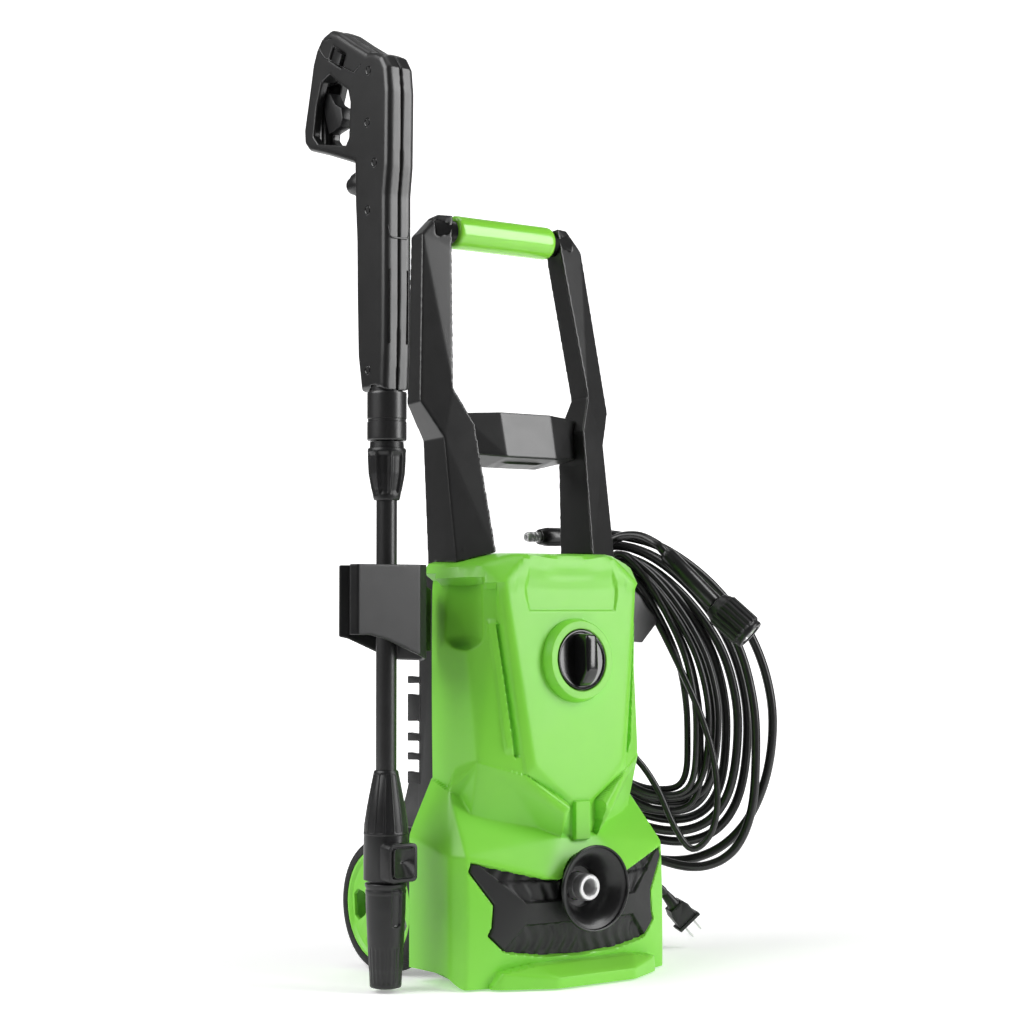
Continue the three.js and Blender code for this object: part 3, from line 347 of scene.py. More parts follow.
hose = {
    "diameter": 0.0105,
    "quick": np.array([0.116, 0.150, 0.464]),
    "quickWay": (-1, 0, -0.02),
    "cuff": hangPoint(26, -54, 169),
    "cuffEnd": hangPoint(81, -66, 112),
    "turns": [
        (190, 146, 184, 112, 40, 2, 9, 9, 9),
        (178, 112, 189, 112, 62, 8, -10, -12, 4),
        (178, 114, 162, 100, 45, -4, 9, 7, -7),
        (166, 104, 149, 90, 40, 7, -5, -3, 7),
        (166, 92, 137, 80, 40, -6, 8, 9, -7),
        (154, 80, 126, 70, 36, 4, -4, -3, -5),
    ],
    "end": (186, -13),
}
lead = {
    "diameter": 0.0076,
    "gland": np.array([0.040, 0.1864, 0.112]),
    "plug": np.array([0.209, 0.094, 0.064]),
    "plugWay": np.array([0.66, -0.12, -0.74]),
    "turns": [
        (166, 84, 116, 60, 34, -24, -17, -17, -20),
        (150, 62, 124, 66, 34, -31, -23, -25, -31),
        (160, 74, 110, 54, 30, -33, -31, -27, -37),
        (150, 52, 100, 48, 26, -40, -21, -20, -23),
        (168, 60, 106, 52, 28, -39, -37, -31, -29),
    ],
    "last": (143, -28),
}


def along(at, way, distance):
    way = np.array(way, float)
    return np.array(at) + way / np.linalg.norm(way) * distance


hoseLine = np.vstack([
    [along(hose["quick"], hose["quickWay"], 0.004), along(hose["quick"], hose["quickWay"], -0.004),
        [0.132, 0.150, 0.4644], hangPoint(-64, 0, 190)],
    hangingTurns(hose["turns"], hose["end"]),
    [hangPoint(-2, -32, 188), along(hose["cuff"], hose["cuffEnd"] - hose["cuff"], -0.012),
     along(hose["cuff"], hose["cuffEnd"] - hose["cuff"], -0.001),
     along(hose["cuff"], hose["cuffEnd"] - hose["cuff"], 0.004)],
])
hoseLine, hoseLength = evenly(smoothLine(hoseLine), 0.0055)
leadLine = np.vstack([
    [[0.040, 0.218, 0.112], [0.040, 0.232, 0.112], [0.058, 0.252, 0.118], hangPoint(-120, 44, -120),
        hangPoint(-64, 34, -62),
     hangPoint(-42, 2, -18), hangPoint(-48, -12, 50), hangPoint(-42, -20, 112)],
    hangingTurns(lead["turns"], lead["last"]),
    [hangPoint(4, -32, 116), hangPoint(48, -38, 30), hangPoint(76, -38, -40), hangPoint(86, -38, -100),
        hangPoint(80, -38, -145), hangPoint(58, -38, -166),
     hangPoint(38, -38, -142), hangPoint(18, -38, -98), hangPoint(-4, -38, -66), hangPoint(-30, -37, -46),
     hangPoint(-60, -36, -56),
     hangPoint(-76, -37, -90), hangPoint(-64, -44, -140), hangPoint(-38, -57, -170),
     along(lead["plug"], lead["plugWay"], -0.012), along(lead["plug"], lead["plugWay"], 0.004)],
])
leadLine, leadLength = evenly(smoothLine(leadLine), 0.0045)
print("hose", round(hoseLength, 3), "m, lead", round(leadLength, 3), "m")
hosePiece = tubeAlong("pressure_hose", hoseLine, hose["diameter"] / 2, "hoseRubber", "machine")
leadPiece = tubeAlong("mains_lead", leadLine, lead["diameter"] / 2, "hoseRubber", "machine", 12)
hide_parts("hose_coil", "hose_to_quick_plug", "hose_to_collar")
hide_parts("power_lead", "lead_coil", "lead_to_plug")
print("hose and lead laid")


# Millimetres. The shape is the outside of several solid blocks that run into each other; each block is
# given by its corners.
housing = {
    "tower": [(58, 6, 437), (66, 15, 439), (66, 97, 440), (104, 97, 428), (102, 32, 426), (88, 9, 410),
              (107, 36, 408), (110, 97, 410), (84.5, 4.5, 347), (110.5, 34.5, 345), (110.5, 97, 345),
              (70, -3, 226), (107.5, 19.7, 228), (110, 97, 226), (66, -7, 213), (20, -13, 182),
              (104, 40, 150), (108, 97, 150), (10, -12, 150)],
    "panel": [(60, 3, 437), (87, -0.5, 412), (93, 8, 414), (77.6, -5, 347), (84, -0.5, 347), (86, 12, 347),
              (59.5, -13, 224), (68.5, -7.5, 227), (66.5, -8.5, 216), (70, 8, 227), (13.3, -16.6, 187),
              (14.5, -13, 182.5), (16, 5, 182)],
    "shoulder": [(56, 2, 438), (64, 15, 441), (66, 97, 442), (100, 24, 429), (114, 60, 429), (117, 97, 430),
                 (90, -1, 409), (114, 32, 411), (118, 60, 413), (121, 97, 416)],
    "base": [(50, -9, 2), (102, 0, 2), (131, 7, 2), (138, 24, 2), (138, 97, 2), (50, -12, 32),
        (106, -2, 52),
             (52, -20, 84), (104, -5, 84), (130, 6, 84), (52, -25, 110), (20, -27, 112), (129.5, 8, 134),
             (138, 24, 134), (138, 97, 152), (25, -12, 149), (116, 57, 196), (110, 97, 207)],
    "brow": [(107.5, 19.7, 228), (117, 56, 198), (31, -26, 173.5), (24, -27, 181), (22, -20, 186),
        (24, -12, 149),
             (66, -8, 214), (104, 60, 226), (104, 80, 190), (30, 40, 184), (30, 40, 150), (80, 60, 150)],
    "lip": [(63.5, -21.3, 24.3), (51.3, -41, 13.2), (51.3, -40, 2), (99.6, -14.7, 18.7), (100.8, -14.7, 2),
            (109, -4, 2), (100, 10, 2), (100, 10, 18), (63, 10, 24)],
    "column": [(9.5, -18.5, 146), (9.5, -18.5, 186), (11, 10, 146), (11, 10, 186)],
    "rib": [(91.5, 8, 370), (98.0, 15.4, 370), (90, 13, 374), (96, 20, 374), (88, 16, 370), (94, 23, 370),
            (76.6, -2.8, 240), (84.8, 2.0, 240), (76, -0.5, 236), (83, 4.5, 236), (75, 8, 238),
            (82, 12, 238)],
    "channel": [(87.2, 368), (91.6, 368), (77.0, 240), (74.5, 232), (70.4, 234), (85.2, 347)],
    "channelDepth": 5.0,
    "edgeRound": 0.8,
    "creaseRound": 0.7,
    "wall": 7.0,
    "badge": [(55.5, 421), (62, 404), (57, 381), (-57, 381), (-62, 404), (-55.5, 421)],
    "badgeDepth": 1.7,
    "window": [(0, 106), (52, 109.5), (124.5, 128), (126.5, 119), (104, 86), (105, 64), (109, 55), (93, 39),
               (88, 37), (50, 31.5), (0, 29.5)],
    "windowDepth": 6.0,
    "well": {"z": 98.3, "radius": 34.5, "depth": 48.0},  # where the bell's throat goes in
    "cove": {"x": 128, "y": 38, "radius": 31, "long": 1.35, "top": 412, "foot": 338},
    "dial": {"z": 330, "y": -6.1, "lean": 3.7,
        "profile": [(0, -3), (43.5, -3), (43.5, 2.2), (43.2, 3.2), (40.6, 10.4),
             (39.8, 11), (33, 11), (32.2, 10.4), (32, 9), (32, 3), (0, 3)]},
    "rows": 320,
    "columns": 300,
}


# The flat sides of the tightest skin round some corners: outward directions and their distances from the
# origin.
def sidesOf(corners):
    bm = bmesh.new()
    for corner in corners:
        bm.verts.new(corner)
    bmesh.ops.convex_hull(bm, input=bm.verts)
    bmesh.ops.recalc_face_normals(bm, faces=bm.faces)
    bm.normal_update()
    rows = {}
    for face in bm.faces:
        if face.calc_area() > 0.5:
            n = face.normal
            rows[tuple(np.round([*n, n.dot(face.verts[0].co) / 40], 2))] = [*n, n.dot(face.verts[0].co)]
    bm.free()
    table = np.array(list(rows.values()))
    return table[:, :3], table[:, 3]


def eitherSide(corners):
    return [tuple(c) for c in corners] + [(-x, y, z) for x, y, z in corners]


# How far a ray runs before it leaves a block: the soft least of its distances to the block's sides.
# A ray that misses the block gets a large negative number.
def reachOf(corners, start, way, rounding):
    sides, far = sidesOf(corners)
    lean = np.einsum("...k,sk->...s", way, sides)
    room = far - np.einsum("...k,sk->...s", start, sides)
    with np.errstate(divide="ignore", invalid="ignore"):
        distance = room / lean
    leave = np.where(lean > 1e-6, distance, 1e4)
    enter = np.where(lean < -1e-6, distance, -1e4).max(-1)
    outside = ((np.abs(lean) <= 1e-6) & (room < 0)).any(-1)
    least = leave.min(-1)
    soft = least - rounding * np.log(np.exp(-(leave - least[..., None]) / rounding).sum(-1))
    return np.where((enter > least) | outside | (least < 0), -1e3, soft)


def softMost(reaches, rounding):
    stack = np.stack(reaches, -1)
    most = stack.max(-1)
    return most + rounding * np.log(np.exp((stack - most[..., None]) / rounding).sum(-1))


def softStep(value, low, high):
    t = np.clip((value - low) / (high - low), 0, 1)
    return t * t * (3 - 2 * t)


# Distance of points in a plane from a closed outline, less than nothing inside it.
def fromOutline(x, z, outline):
    corners = np.array(outline, float)
    best = np.full(x.shape, 1e9)
    inside = np.zeros(x.shape, bool)
    for a, b in zip(corners, np.roll(corners, -1, 0)):
        d = b - a
        t = np.clip(((x - a[0]) * d[0] + (z - a[1]) * d[1]) / (d @ d), 0, 1)
        best = np.minimum(best, np.hypot(x - a[0] - t * d[0], z - a[1] - t * d[1]))
        if a[1] != b[1]:
            crosses = (a[1] > z) != (b[1] > z)
            inside ^= crosses & (x < (b[0] - a[0]) * (z - a[1]) / (b[1] - a[1]) + a[0])
    return np.where(inside, -best, best)


# Rays start on the upright line at the back of the housing. Along the middle they are level; at the top
# they swing
# up to the vertical. A point of the surface is where its ray leaves the last block.
def housingSkin(s, start, way):
    blocks = [eitherSide(s[k]) for k in ("tower", "panel", "shoulder", "base", "lip", "column")]
    for k in ("brow", "rib"):
        blocks += [list(s[k]), [(-x, y, z) for x, y, z in s[k]]]
    reach = softMost([reachOf(b, start, way, s["edgeRound"]) for b in blocks], s["creaseRound"])
    cove = s["cove"]
    # each cove is an upright oval hollow that closes towards its foot
    flat = way[..., :2] / np.array([1, cove["long"]])
    for side in (-1, 1):
        across = (np.array([side * cove["x"], cove["y"]]) - start[..., :2]) / np.array([1, cove["long"]])
        z = start[..., 2] + way[..., 2] * reach
        grow = np.clip((z - cove["foot"]) / 18, 0, 1)
        radius = cove["radius"] * np.sqrt(np.clip(1 - (1 - grow) ** 2, 0, 1)) * (z < cove["top"])
        a = np.maximum((flat**2).sum(-1), 1e-6)
        b = (across * flat).sum(-1)
        inner = b**2 - a * ((across**2).sum(-1) - radius**2)
        near = np.where((inner > 0) & (b > 0) & (radius > 0), (b - np.sqrt(np.maximum(inner, 0))) / a, 1e3)
        low = np.minimum(reach, near)
        reach = low - 1.0 * np.log(np.exp(-(reach - low)) + np.exp(-np.minimum(near - low, 50)))
    place = start + way * reach[..., None]
    front = softStep(-way[..., 1], 0.05, 0.2)
    badge = softStep(-fromOutline(place[..., 0], place[..., 2], s["badge"]), -0.6, 1.6)
    whole = s["window"] + [(-x, z) for x, z in s["window"][1:-1][::-1]]
    window = softStep(-fromOutline(place[..., 0], place[..., 2], whole), -1.5, 1.2)
    channel = softStep(-fromOutline(np.abs(place[..., 0]), place[..., 2], s["channel"]), -0.8, 1.0)
    channel *= softStep(20 - place[..., 1], 0, 4)
    well = s["well"]
    hole = softStep(well["radius"] - np.hypot(place[..., 0], place[..., 2] - well["z"]), -0.7, 0.7)
    inwards = s["badgeDepth"] * badge + s["windowDepth"] * window + s["channelDepth"] * channel
    inwards = (inwards * (1 - hole) + well["depth"] * hole) * front
    return place + np.stack([0 * inwards, inwards, 0 * inwards], -1)


def makeHousing(s):
    rows, columns = s["rows"], s["columns"]
    capRows = 34
    height = np.r_[np.linspace(2.0, 392, rows - capRows), np.full(capRows, 392.0)]
    lift = np.r_[np.zeros(rows - capRows), np.linspace(0, 90, capRows + 1)[1:]]
    spread = np.linspace(-1, 1, columns)
    turn = np.radians(90 * (spread * 0.82 + 0.18 * spread**3))
    # the foot of each side is cut away behind the front corners, over the wheels
    raised = 13 * softStep(np.abs(np.degrees(turn)), 56, 67)[None] * (392 - height[:, None]) / 390
    start = np.stack(np.broadcast_arrays(0.0, 96.5, height[:, None] + raised), -1)
    lift = np.radians(lift)[:, None]
    way = np.stack([np.cos(lift) * np.sin(turn), -np.cos(lift) * np.cos(turn), np.sin(lift) + 0 * turn], -1)
    outer = housingSkin(s, start, way)
    inner = np.linspace(columns - 1, 0, 26).round().astype(int)
    reach = np.linalg.norm(outer[:, inner] - start[:, inner], axis=-1) - s["wall"]
    lining = start[:, inner] + way[:, inner] * np.minimum(reach, 100)[..., None]
    lining[:, 0, 1] = lining[:, -1, 1] = 96.5
    points = np.concatenate([outer, lining], 1)
    total = columns + len(inner)
    faces = gridFaces(rows, total, wrapCols=True).tolist()
    for k in range(len(inner) - 1):
        faces.append([columns + k, columns + k + 1, *range(inner[k + 1], inner[k] + 1)])
    lean = np.radians(s["dial"]["lean"])
    dial = turned(s["dial"]["profile"], (0, s["dial"]["y"], s["dial"]["z"]),
        (0, -np.cos(lean), np.sin(lean)), 144)
    points, faces = joined([(points, faces), dial])
    piece = addMesh("housing_shell", points / 1000, faces, "green", "machine", 30)
    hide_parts("front_housing")
    return piece


makeHousing(housing)
print("housing made")


# Ribs round a turned piece: count of them, how deep, and the part of the length that they run along.
def ribs(count, depth, low, high, sharp=3.0, fade=4.0):
    def relief(angle, distance, radius):
        wave = 0.5 + 0.5 * np.cos(count * angle)
        run = softStep(distance, low, low + fade) * softStep(high - distance, 0, fade)
        return depth * (1 - np.abs(1 - wave) ** sharp) * run * (radius > 6)
    return relief


# Place of the gun's axis, in millimetres
lance = {"x": -192.0, "y": 60.0}
lanceFoot = (lance["x"], lance["y"], 0)
upwards = (0, 0, 1)
nozzleFront = 0.0  # radians round from where a turned ring starts


# Outlet: a matt funnel that narrows in a long curve, and the bright nipple in its throat.
def makeOutlet():
    t = np.linspace(0, 1, 22)
    outside = [(44.0 - 20.3 * u**0.62, 1.2 + 22 * u) for u in t[1:]]
    inside = [(41.2 - 20.2 * u**0.55, 1.4 + 23 * u) for u in t]
    rim = [(41.4, -0.6), (42.0, -1.6), (43.0, -1.8), (43.8, -1.2), (44.1, 0.2), (44.0, 1.2)]
    profile = rim + outside + [(23.7, 34), (14.6, 34), (14.6, 30.5), (20.4, 30)] + inside[::-1] + rim[:1]
    bell = turned(profile, (0, -38, 98.3), (0, 1, 0), 144, 1.0)
    addTurned("outlet_funnel", [bell], "bell", "machine", ["outlet_bell"], 30)
    pipe = [(8.4, 0.6), (9.4, -0.3), (12.4, -0.3), (13.2, 0.5), (13.7, 1.6), (13.7, 10), (13.2, 10.6),
        (13.2, 12),
            (13.7, 12.6), (13.7, 32), (10, 33), (10, 58), (4, 58), (4, 40), (7.8, 40), (7.8, 2), (8.4, 0.6)]
    addTurned("outlet_pipe", [turned(pipe, (0, -29, 98.3), (0, 1, 0), 96, 0.8)], "steel", "machine",
        ["outlet_nipple"],
              30)


# Dial knob: a disc with a raised rim, and a finger grip that stands up steeply at its top and slopes back
# at its foot.
# Each level of the grip is a rounded oblong: its half width and its reach up and down shrink with a root of
# the height.
knob = {"at": (0, -6.1, 330), "lean": 3.7, "levels": 26, "low": 8.5, "high": 28.3,
        "halfWidth": (8.8, 7.4), "up": (27.5, 25.5), "down": (27.5, 13.0), "power": 7.0}


def makeKnob(s):
    lean = np.radians(s["lean"])
    out = np.array([0, -np.cos(lean), np.sin(lean)])
    up = np.array([0, np.sin(lean), np.cos(lean)])
    disc = [(0, 1.6), (30.6, 1.6), (31, 2.2), (31, 10.2), (30.6, 11), (29.6, 11.1), (28.8, 10.6), (28, 9.4),
        (0, 8.8)]
    parts = [turned(disc, s["at"], out, 128, 1.0)]
    t = np.linspace(0, 1, s["levels"])
    edgeShare = np.clip((t - 0.86) / 0.14, 0, 1)
    shrink = 2.6 * (1 - np.sqrt(np.clip(1 - edgeShare**2, 0, 1)))  # rounded top edge
    half = s["halfWidth"][0] + (s["halfWidth"][1] - s["halfWidth"][0]) * t - shrink * 0.6
    high = s["up"][0] + (s["up"][1] - s["up"][0]) * t - shrink
    low = s["down"][0] + (s["down"][1] - s["down"][0]) * t**2.2 - shrink
    a = np.arange(72) * 2 * np.pi / 72
    c, d = np.cos(a), np.sin(a)
    e = 2 / s["power"]
    across = half[:, None] * np.sign(c) * np.abs(c) ** e
    upward = (high + low)[:, None] / 2 * np.sign(d) * np.abs(d) ** (2 / 4.5) + ((high - low) / 2)[:, None]
    level = s["low"] + (s["high"] - s["low"]) * t
    points = (np.array(s["at"]) + across[..., None] * np.array([1.0, 0, 0]) + upward[..., None] * up
              + level[:, None, None] * out)
    faces = gridFaces(len(t), 72, wrapCols=True).tolist()
    faces += [list(range(72))[::-1], list(range((len(t) - 1) * 72, len(t) * 72))]
    parts.append((points, faces))
    addTurned("dial_knob", parts, "gloss", "knob", ["switch_knob"], 35)


# Black inset of the base: its front follows the base's front, with a raised cross frame and waved panels
# above and
# below it. Depth is a sine across with a slower sine down inside it.
mask = {
    "frame": [(0, 87), (72, 87), (117, 126), (124, 127), (125.8, 119), (103.3, 86), (104.3, 64), (108, 55),
              (92.5, 39.6), (70, 64), (0, 64)],
    "raise": 4.4, "wave": 0.8, "gap": 0.35, "rows": 104, "columns": 128, "hole": 31.5,
}


def makeMask(s, h):
    outline = np.array(h["window"])
    right = outline[(outline[:, 0] > 0)][::-1]
    right = np.vstack([[0, outline[-1, 1]], right[:-1]]) if right[-1,
        0] < 60 else np.vstack([[0, outline[-1, 1]], right])
    z = np.linspace(29.5 + s["gap"], 128 - s["gap"], s["rows"])
    chain = right[np.argsort(right[:, 1])]
    far = np.interp(z, chain[:, 1], chain[:, 0]) - s["gap"] * 1.3
    near = np.where(z > 106, np.interp(z, [106, 109.5, 128], [0, 52, 124.5]), 0)
    near = np.minimum(near, far - 0.4)
    u = np.linspace(0, 1, s["columns"])
    x = near[:, None] + (far - near)[:, None] * u
    zz = np.broadcast_to(z[:, None], x.shape)
    start = np.stack([x, 0 * x + 96, zz], -1)
    way = np.broadcast_to(np.array([0.0, -1, 0]), start.shape)
    skin = 96 - reachOf(eitherSide(h["base"]), start, way, h["edgeRound"])
    whole = s["frame"] + [(-a, b) for a, b in s["frame"][1:-1][::-1]]
    raised = softStep(-fromOutline(x, zz, whole), -1.2, 0.9)
    waves = s["wave"] * np.sin(x * 0.42 + 1.6 * np.sin(zz * 0.16)) * (1 - raised)
    hole = softStep(s["hole"] - np.hypot(x, zz - 98.3), -0.8, 0.8)
    y = skin + 4.6 - s["raise"] * raised + waves * (zz > 0) + 40 * hole
    parts = []
    for side in (1, -1):
        front = np.stack([side * x, y, zz], -1)
        back = np.stack([side * x, np.maximum(skin + 9, y + 1.5), zz], -1)
        parts.append(slab(front, back))
    addTurned("mask_skin", parts, "mattBlack", "machine", ["mask_trim"], 45)


# Fittings of the lance, from the gun's collar down to the nozzle.
def makeLance():
    tube = [(10.5, 186), (10.5, 606), (3, 606), (3, 186), (10.5, 186)]
    addTurned("lance_pipe", [turned(tube, lanceFoot, upwards, 64, 12)], "satin", "lance", ["lance_tube"])
    nut = [(10.8, 493), (12.4, 493), (13.2, 494), (16.2, 506), (18.8, 520), (19.6, 534), (19.6, 543),
        (19, 545.4),
           (17.4, 546), (17, 552), (10.8, 552), (10.8, 493)]
    bold = ribs(8, -2.4, 497, 543, 5.0, 6)
    addTurned("lance_nut_skin", [turned(nut, lanceFoot, upwards, 160, 1.2, bold)], "black", "lance",
        ["lance_nut"],
              45)
    collar = [(10.8, 553), (18.4, 553), (19.4, 553.5), (20, 554.8), (20, 572), (19.3, 572.6), (19.3, 575),
        (20, 575.6),
              (20, 601.4), (19.4, 602.6), (16, 603.1), (16, 612), (10.8, 612), (10.8, 553)]
    addTurned("gun_collar_skin", [turned(collar, lanceFoot, upwards, 96, 1.2)], "satin", "gun",
        ["gun_collar"],
              35)
    cone = [(10.8, 157), (22.3, 157), (22.7, 158.4), (22.1, 168), (19.3, 186), (15.4, 206), (12.6, 219.6),
        (11.8, 221.2),
            (10.8, 221), (10.8, 157)]
    grooves = ribs(14, -1.1, 158, 219, 2.5, 4)
    addTurned("cone_ribs", [turned(cone, lanceFoot, upwards, 168, 1.2, grooves)], "black", "lance", [],
        45)
    nozzle = [(3, 6), (5, 4.6), (11.4, 4), (13, 4.6), (15.4, 5.2), (16, 6.4), (16.6, 20), (17.2, 24),
        (18.4, 52),
              (20, 84), (20.2, 98), (20.6, 99), (20.6, 101.6), (20, 102.2), (20, 104), (21, 105.6),
              (21.2, 108.2),
              (20.6, 109), (16, 109), (16, 111.2), (3, 111.2), (3, 6)]

    # a slot shaped like a U on the front, and shallow flutes round the lower half
    def relief(angle, distance, radius):
        fromFront = np.abs((angle - nozzleFront + np.pi) % (2 * np.pi) - np.pi) * 18
        slot = np.hypot(np.maximum(fromFront - 1.2, 0), np.maximum(70 - distance, 0) * (distance < 70))
        cutIn = -2.2 * softStep(4.2 - slot, 0, 1.2) * softStep(104 - distance, 0, 1.0) * (distance < 104)
        flutes = -0.5 * (0.5 - 0.5 * np.cos(22 * angle)) * softStep(distance, 8,
            12) * softStep(48 - distance, 0, 5)
        return (cutIn + flutes) * (radius > 15) * (distance > 7)

    addTurned("nozzle_skin", [turned(nozzle, lanceFoot, upwards, 200, 1.0, relief)], "black", "nozzle_body",
              ["spray_nozzle"], 40)




# Ribbed collar on the hose end, with the bright insert ring behind it.
def makeCollar():
    way = (hose["cuffEnd"] - hose["cuff"]) * 1000
    at = hose["cuffEnd"] * 1000 + way / np.linalg.norm(way) * 2.2
    way = way + np.array([0, -10, 0])
    body = [(9, 0), (14.6, 0), (15.4, 0.8), (17, 5), (18, 7), (18.2, 9), (18.2, 44), (17.6, 48), (17.9, 49),
        (17.9, 51),
            (17, 52.4), (12.5, 52.4), (12.5, 10), (9, 10), (9, 0)]
    teeth = ribs(18, 1.7, 8, 47, 2.5, 2.5)
    addTurned("collar_skin", [turned(body, at, way, 216, 1.2, teeth)], "black", "collar_body",
        ["hose_collar"],
              45)
    insert = [(0, 0.3), (8.5, 0.3), (8.5, 12), (11.8, 12), (11.8, 50), (11.2, 51), (9, 51), (8.6, 50),
        (8.6, 34),
              (7.2, 33.4), (7, 46), (6.4, 47), (3.4, 47), (2.8, 46), (2.5, 30), (0, 30)]
    addTurned("collar_pin", [turned(insert, at, way, 72, 1.2)], "steel", "machine", ["collar_insert"],
        35)


# Tyres with a fine tread, a rounded shoulder and a thin lip against the rim.
def makeWheels():
    for side, sign in (("left", -1), ("right", 1)):
        half = 14
        tyre = [(59.3, -half), (64, -half), (67.4, -half + 0.8), (69.4, -half + 3.4), (70, -half + 6),
            (70, half - 6),
                (69.4, half - 3.4), (67.4, half - 0.8), (64, half), (61.4, half), (60.8, half - 0.6),
                (59.3, half - 0.6),
                (59.3, -half)]

        def tread(angle, distance, radius):
            notch = softStep(np.cos(90 * angle + distance * 0.5), 0.55, 0.85)
            return -0.7 * notch * (radius > 69)

        at = (sign * 118, 164, 70)
        addTurned(side + "_tyre_skin", [turned(tyre, at, (sign, 0, 0), 360, 1.6, tread)], "tyreRubber",
            side + "_wheel",
                  [side + "_tyre"], 50)


def makeGrip():
    half = 65
    ends = [(12.2, -half), (14.5, -half), (16.4, -half + 0.8), (17.6, -half + 2.6), (18, -half + 5)]
    profile = ends + [(18, half - 5), (17.6, half - 2.6), (16.4, half - 0.8), (14.5, half), (12.2, half),
        ends[0]]
    grip = turned(profile, (0, 124, 787), (1, 0, 0), 96, 2.0)
    addTurned("grip_skin", [grip], "gripGreen", "machine", ["grip_sleeve"], 35)


# Gun details: screws sunk in the right-hand flank, and a ribbed rubber strip down the back of the handle.
gun = {
    "screws": [(70, 931), (72, 878), (59, 835), (71, 788), (70, 625)],
    "flank": -209.0,
    "beads": [
        ([(-209, 84, 940), (-209, 96, 934), (-209, 152, 960), (-209, 163, 972), (-209, 156, 979),
            (-209, 140, 978)], 0.8),
        ([(-206.5, 42, 778), (-203.5, 39.2, 759), (-201, 38.9, 757), (-183, 38.9, 757), (-180.5, 39.2, 759),
          (-177.5, 42, 778)], 1.1),
        ([(-203, 39.4, 650), (-203, 39, 725)], 1.3),
        ([(-181, 39.4, 650), (-181, 39, 725)], 1.3),
    ],
    "strip": {"x": (-203, -181), "z": (642, 768), "rear": [(641, 91), (700, 93), (760, 94), (800, 97)],
        "count": 14},
}


def makeGunDetails(s):
    ring = [(0, -1.4), (3.1, -1.4), (3.2, 0.1), (3.9, 0.5), (4.6, 0.45), (5, 0.1), (5, -2), (0, -2)]
    head = [(0, -1.6), (2.7, -1.6), (2.7, -0.7), (2.2, -0.4), (1.2, -0.4), (1.0, -1.0), (0, -1.0)]
    spots = [(s["flank"], y, z) for y, z in s["screws"]]
    addTurned("gun_screw_seats", [turned(ring, at, (-1, 0, 0), 40, 0.6) for at in spots], "gloss", "gun",
        [])
    addTurned("gun_screws", [turned(head, at, (-1, 0, 0), 24, 0.6) for at in spots], "zinc", "gun", [])
    # raised beads that outline the side panel, the front notch and the two front slots
    for k, (path, radius) in enumerate(s["beads"]):
        bead = tubeAlong("gun_bead_" + str(k), np.array(path, float) / 1000, radius / 1000, "gloss", "gun",
            10)
    strip = s["strip"]
    z = np.linspace(*strip["z"], 260)
    x = np.linspace(*strip["x"], 26)
    rearZ, rearY = np.array(strip["rear"], float).T
    edge = np.clip(np.minimum(z - z[0], z[-1] - z) / 2.5, 0, 1)[:, None] ** 0.5
    side = np.sqrt(np.clip(1 - (np.abs(x - x.mean()) / (np.ptp(x) / 2)) ** 6, 0, 1))[None]
    wave = np.abs(np.sin((z - z[0]) / np.ptp(z) * np.pi * strip["count"]))[:, None] ** 0.6
    y = np.interp(z, rearZ, rearY)[:, None] + (0.4 + 1.9 * wave) * edge * side
    xx, zz = np.broadcast_to(x[None], y.shape), np.broadcast_to(z[:, None], y.shape)
    back = np.interp(z, rearZ, rearY)[:, None] - 3 + 0 * xx
    addTurned("gun_grip_strip", [slab(np.stack([xx, y, zz], -1), np.stack([xx, back, zz], -1))],
        "tyreRubber", "gun",
              [], 60)


makeOutlet()
makeKnob(knob)
makeMask(mask, housing)
makeLance()
makeCollar()
makeWheels()
makeGrip()
makeGunDetails(gun)
print("outlet, dial, mask, lance, collar, tyres and gun details made")


# Loose triangles are welded. Where a width is given, flat runs are merged and every edge sharper than 28
# degrees gets a small round of that width; a width of nothing leaves the node welded only. A soft node is
# wrapped in a fine even net and relaxed instead.
def finishNode(name, finish, width=0.0008, segments=2):
    obj = nodes[name]
    obj.data.materials.clear()
    obj.data.materials.append(material[finish])
    weld = obj.modifiers.new("weld", "WELD")
    weld.merge_threshold = 0.00001
    if width < 0:
        net = obj.modifiers.new("net", "REMESH")
        net.mode = "VOXEL"
        net.voxel_size = -width
        net.use_smooth_shade = True
        relax = obj.modifiers.new("relax", "SMOOTH")
        relax.factor = 0.5
        relax.iterations = 5
    if width > 0:
        flat = obj.modifiers.new("flat", "DECIMATE")
        flat.decimate_type = "DISSOLVE"
        flat.angle_limit = np.radians(1)
        bevel = obj.modifiers.new("round", "BEVEL")
        bevel.width = width
        bevel.segments = segments
        bevel.limit_method = "ANGLE"
        bevel.angle_limit = np.radians(28)
        bevel.use_clamp_overlap = False
        bevel.harden_normals = True
    obj.data.shade_smooth()


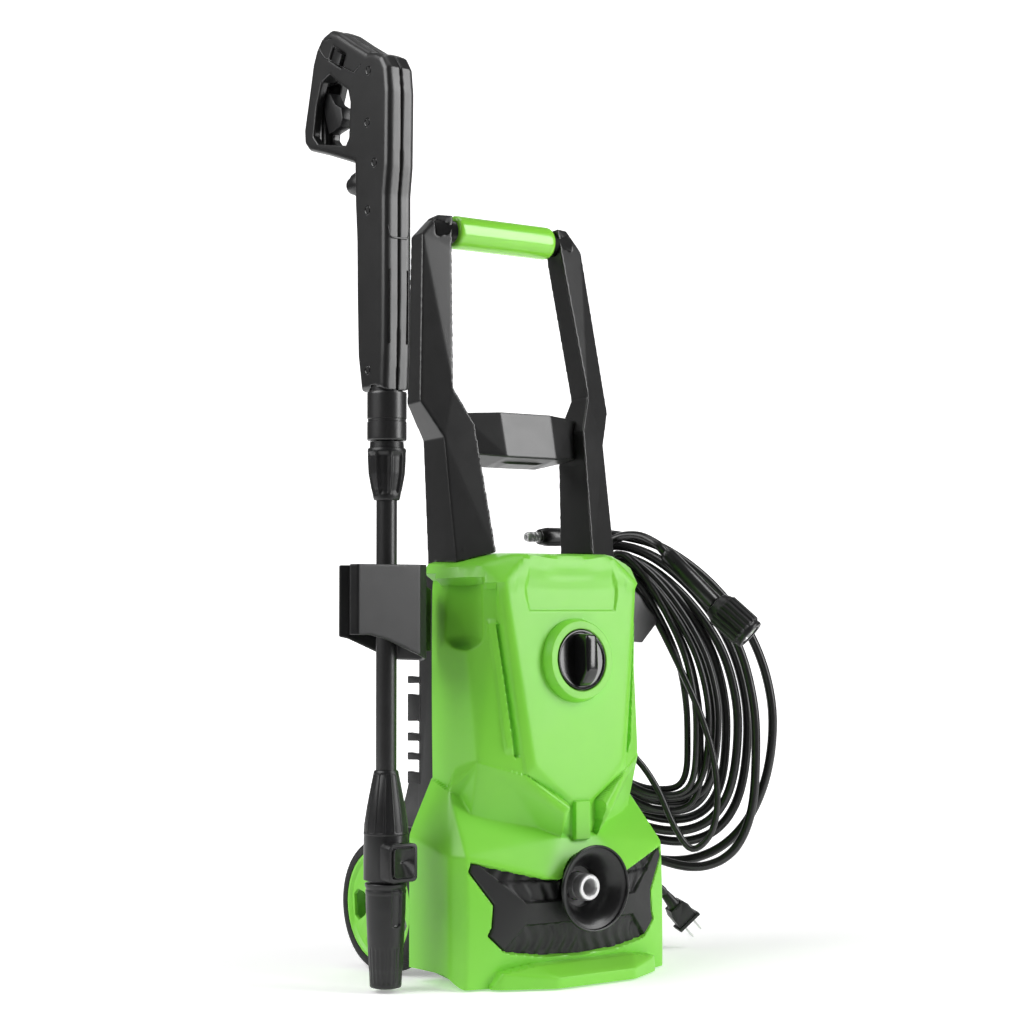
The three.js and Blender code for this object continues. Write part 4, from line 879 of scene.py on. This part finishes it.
carried = {
    "switch_body": ("pale", 0), "motor_housing": ("zinc", 0), "motor_rotor": ("copper", 0),
    "cooling_fan": ("black", 0),
    "pump_gearcase": ("zinc", 0), "wobble_plate": ("brass", 0), "pump_head": ("zinc", 0),
    "water_inlet": ("brass", 0.0004), "capacitor": ("pale", 0), "rear_housing": ("mattBlack", 0.001),
    "chassis_tray": ("mattBlack", 0), "front_foot": ("tyreRubber", 0), "wheel_axle": ("steel", 0.0004),
    "left_rim": ("green", 0.0006), "left_hub_cap": ("black", 0.0004), "right_rim": ("green", 0.0006),
    "right_hub_cap": ("black", 0.0004), "handle_arm_right": ("satin", -0.0012),
    "handle_arm_left": ("satin", -0.0012),
    "handle_tube": ("satin", 0), "handle_crossbar": ("satin", -0.0011), "lance_holder": ("black", -0.0009),
    "hose_hook": ("satin", -0.0011), "quick_plug_cuff": ("hoseRubber", 0.0006),
    "quick_plug": ("steel", 0.0002),
    "collar_cuff": ("hoseRubber", 0.0005), "lead_gland": ("hoseRubber", 0.0004),
    "plug_body": ("black", 0.0006),
    "plug_blade_a": ("steel", 0.0001), "plug_blade_b": ("steel", 0.0001),
    "gun_shell_left": ("satin", -0.0012),
    "gun_shell_right": ("satin", -0.0012), "trigger": ("black", 0.0006), "trigger_lock": ("black", 0.0004),
    "gun_inlet": ("black", 0.0004), "lance_socket": ("black", 0.0005), "release_button": ("satin", 0.0006),
}
for name, (finish, width) in carried.items():
    finishNode(name, finish, width)
print("carried-over nodes finished")


def makeStage():
    mesh = bpy.data.meshes.new("studioFloor")
    n = 40
    v = np.linspace(0, 1, n)
    # flat floor that curves up into a wall far behind
    y = np.where(v < 0.6, -0.8 + v / 0.6 * 4, 3.2 + 2 * np.sin((v - 0.6) / 0.4 * np.pi / 2))
    z = np.where(v < 0.6, 0, 4 - 4 * np.cos((v - 0.6) / 0.4 * np.pi / 2))
    x = np.linspace(-2.6, 2.6, 2)
    turn = np.radians(-camera["turn"])
    grid = np.stack([np.broadcast_to(x[None], (n, 2)), np.broadcast_to(y[:, None], (n, 2)),
        np.broadcast_to(z[:, None], (n, 2))], -1)
    c, s = np.cos(turn), np.sin(turn)
    grid = np.stack([grid[..., 0] * c - grid[..., 1] * s, grid[..., 0] * s + grid[..., 1] * c,
        grid[..., 2]], -1)
    mesh.from_pydata(grid.reshape(-1, 3).tolist(), [], gridFaces(n, 2).tolist())
    mesh.shade_smooth()
    paint, tree, shader = newMaterial("studioPaper")
    shader.inputs["Base Color"].default_value = (0.95, 0.95, 0.95, 1)
    shader.inputs["Roughness"].default_value = 0.8
    shader.inputs["Emission Color"].default_value = (1, 1, 1, 1)
    # the glow grows smoothly with the distance behind the machine, so that no line shows
    place = tree.nodes.new("ShaderNodeTexCoord")
    parts = tree.nodes.new("ShaderNodeSeparateXYZ")
    tree.links.new(place.outputs["Object"], parts.inputs[0])
    fade = tree.nodes.new("ShaderNodeMapRange")
    fade.interpolation_type = "SMOOTHSTEP"
    for socket, value in (("From Min", 0.15), ("From Max", 1.9), ("To Min", 0.30), ("To Max", 0.95)):
        fade.inputs[socket].default_value = value
    tree.links.new(parts.outputs["Y"], fade.inputs["Value"])
    tree.links.new(fade.outputs["Result"], shader.inputs["Emission Strength"])
    mesh.materials.append(paint)
    obj = bpy.data.objects.new("studioFloor", mesh)
    bpy.context.scene.collection.objects.link(obj)


makeStage()
areaLight("leftLight", (-2.0, 0.5, 1.9), (0, 0, 0.45), (2.0, 1.8), 50)
areaLight("frontLight", (1.4, -1.8, 1.45), (0, 0, 0.5), (1.0, 2.5), 56)
areaLight("topLight", (0.0, 0.3, 2.8), (0, 0, 0.2), (1.2, 1.2), 9)
world = bpy.data.worlds.new("studioWorld")
world.use_nodes = True
world.node_tree.nodes["Background"].inputs[0].default_value = (1, 1, 1, 1)
world.node_tree.nodes["Background"].inputs[1].default_value = 0.1
bpy.context.scene.world = world
bpy.context.scene.view_settings.view_transform = "Standard"
print("stage and light set")
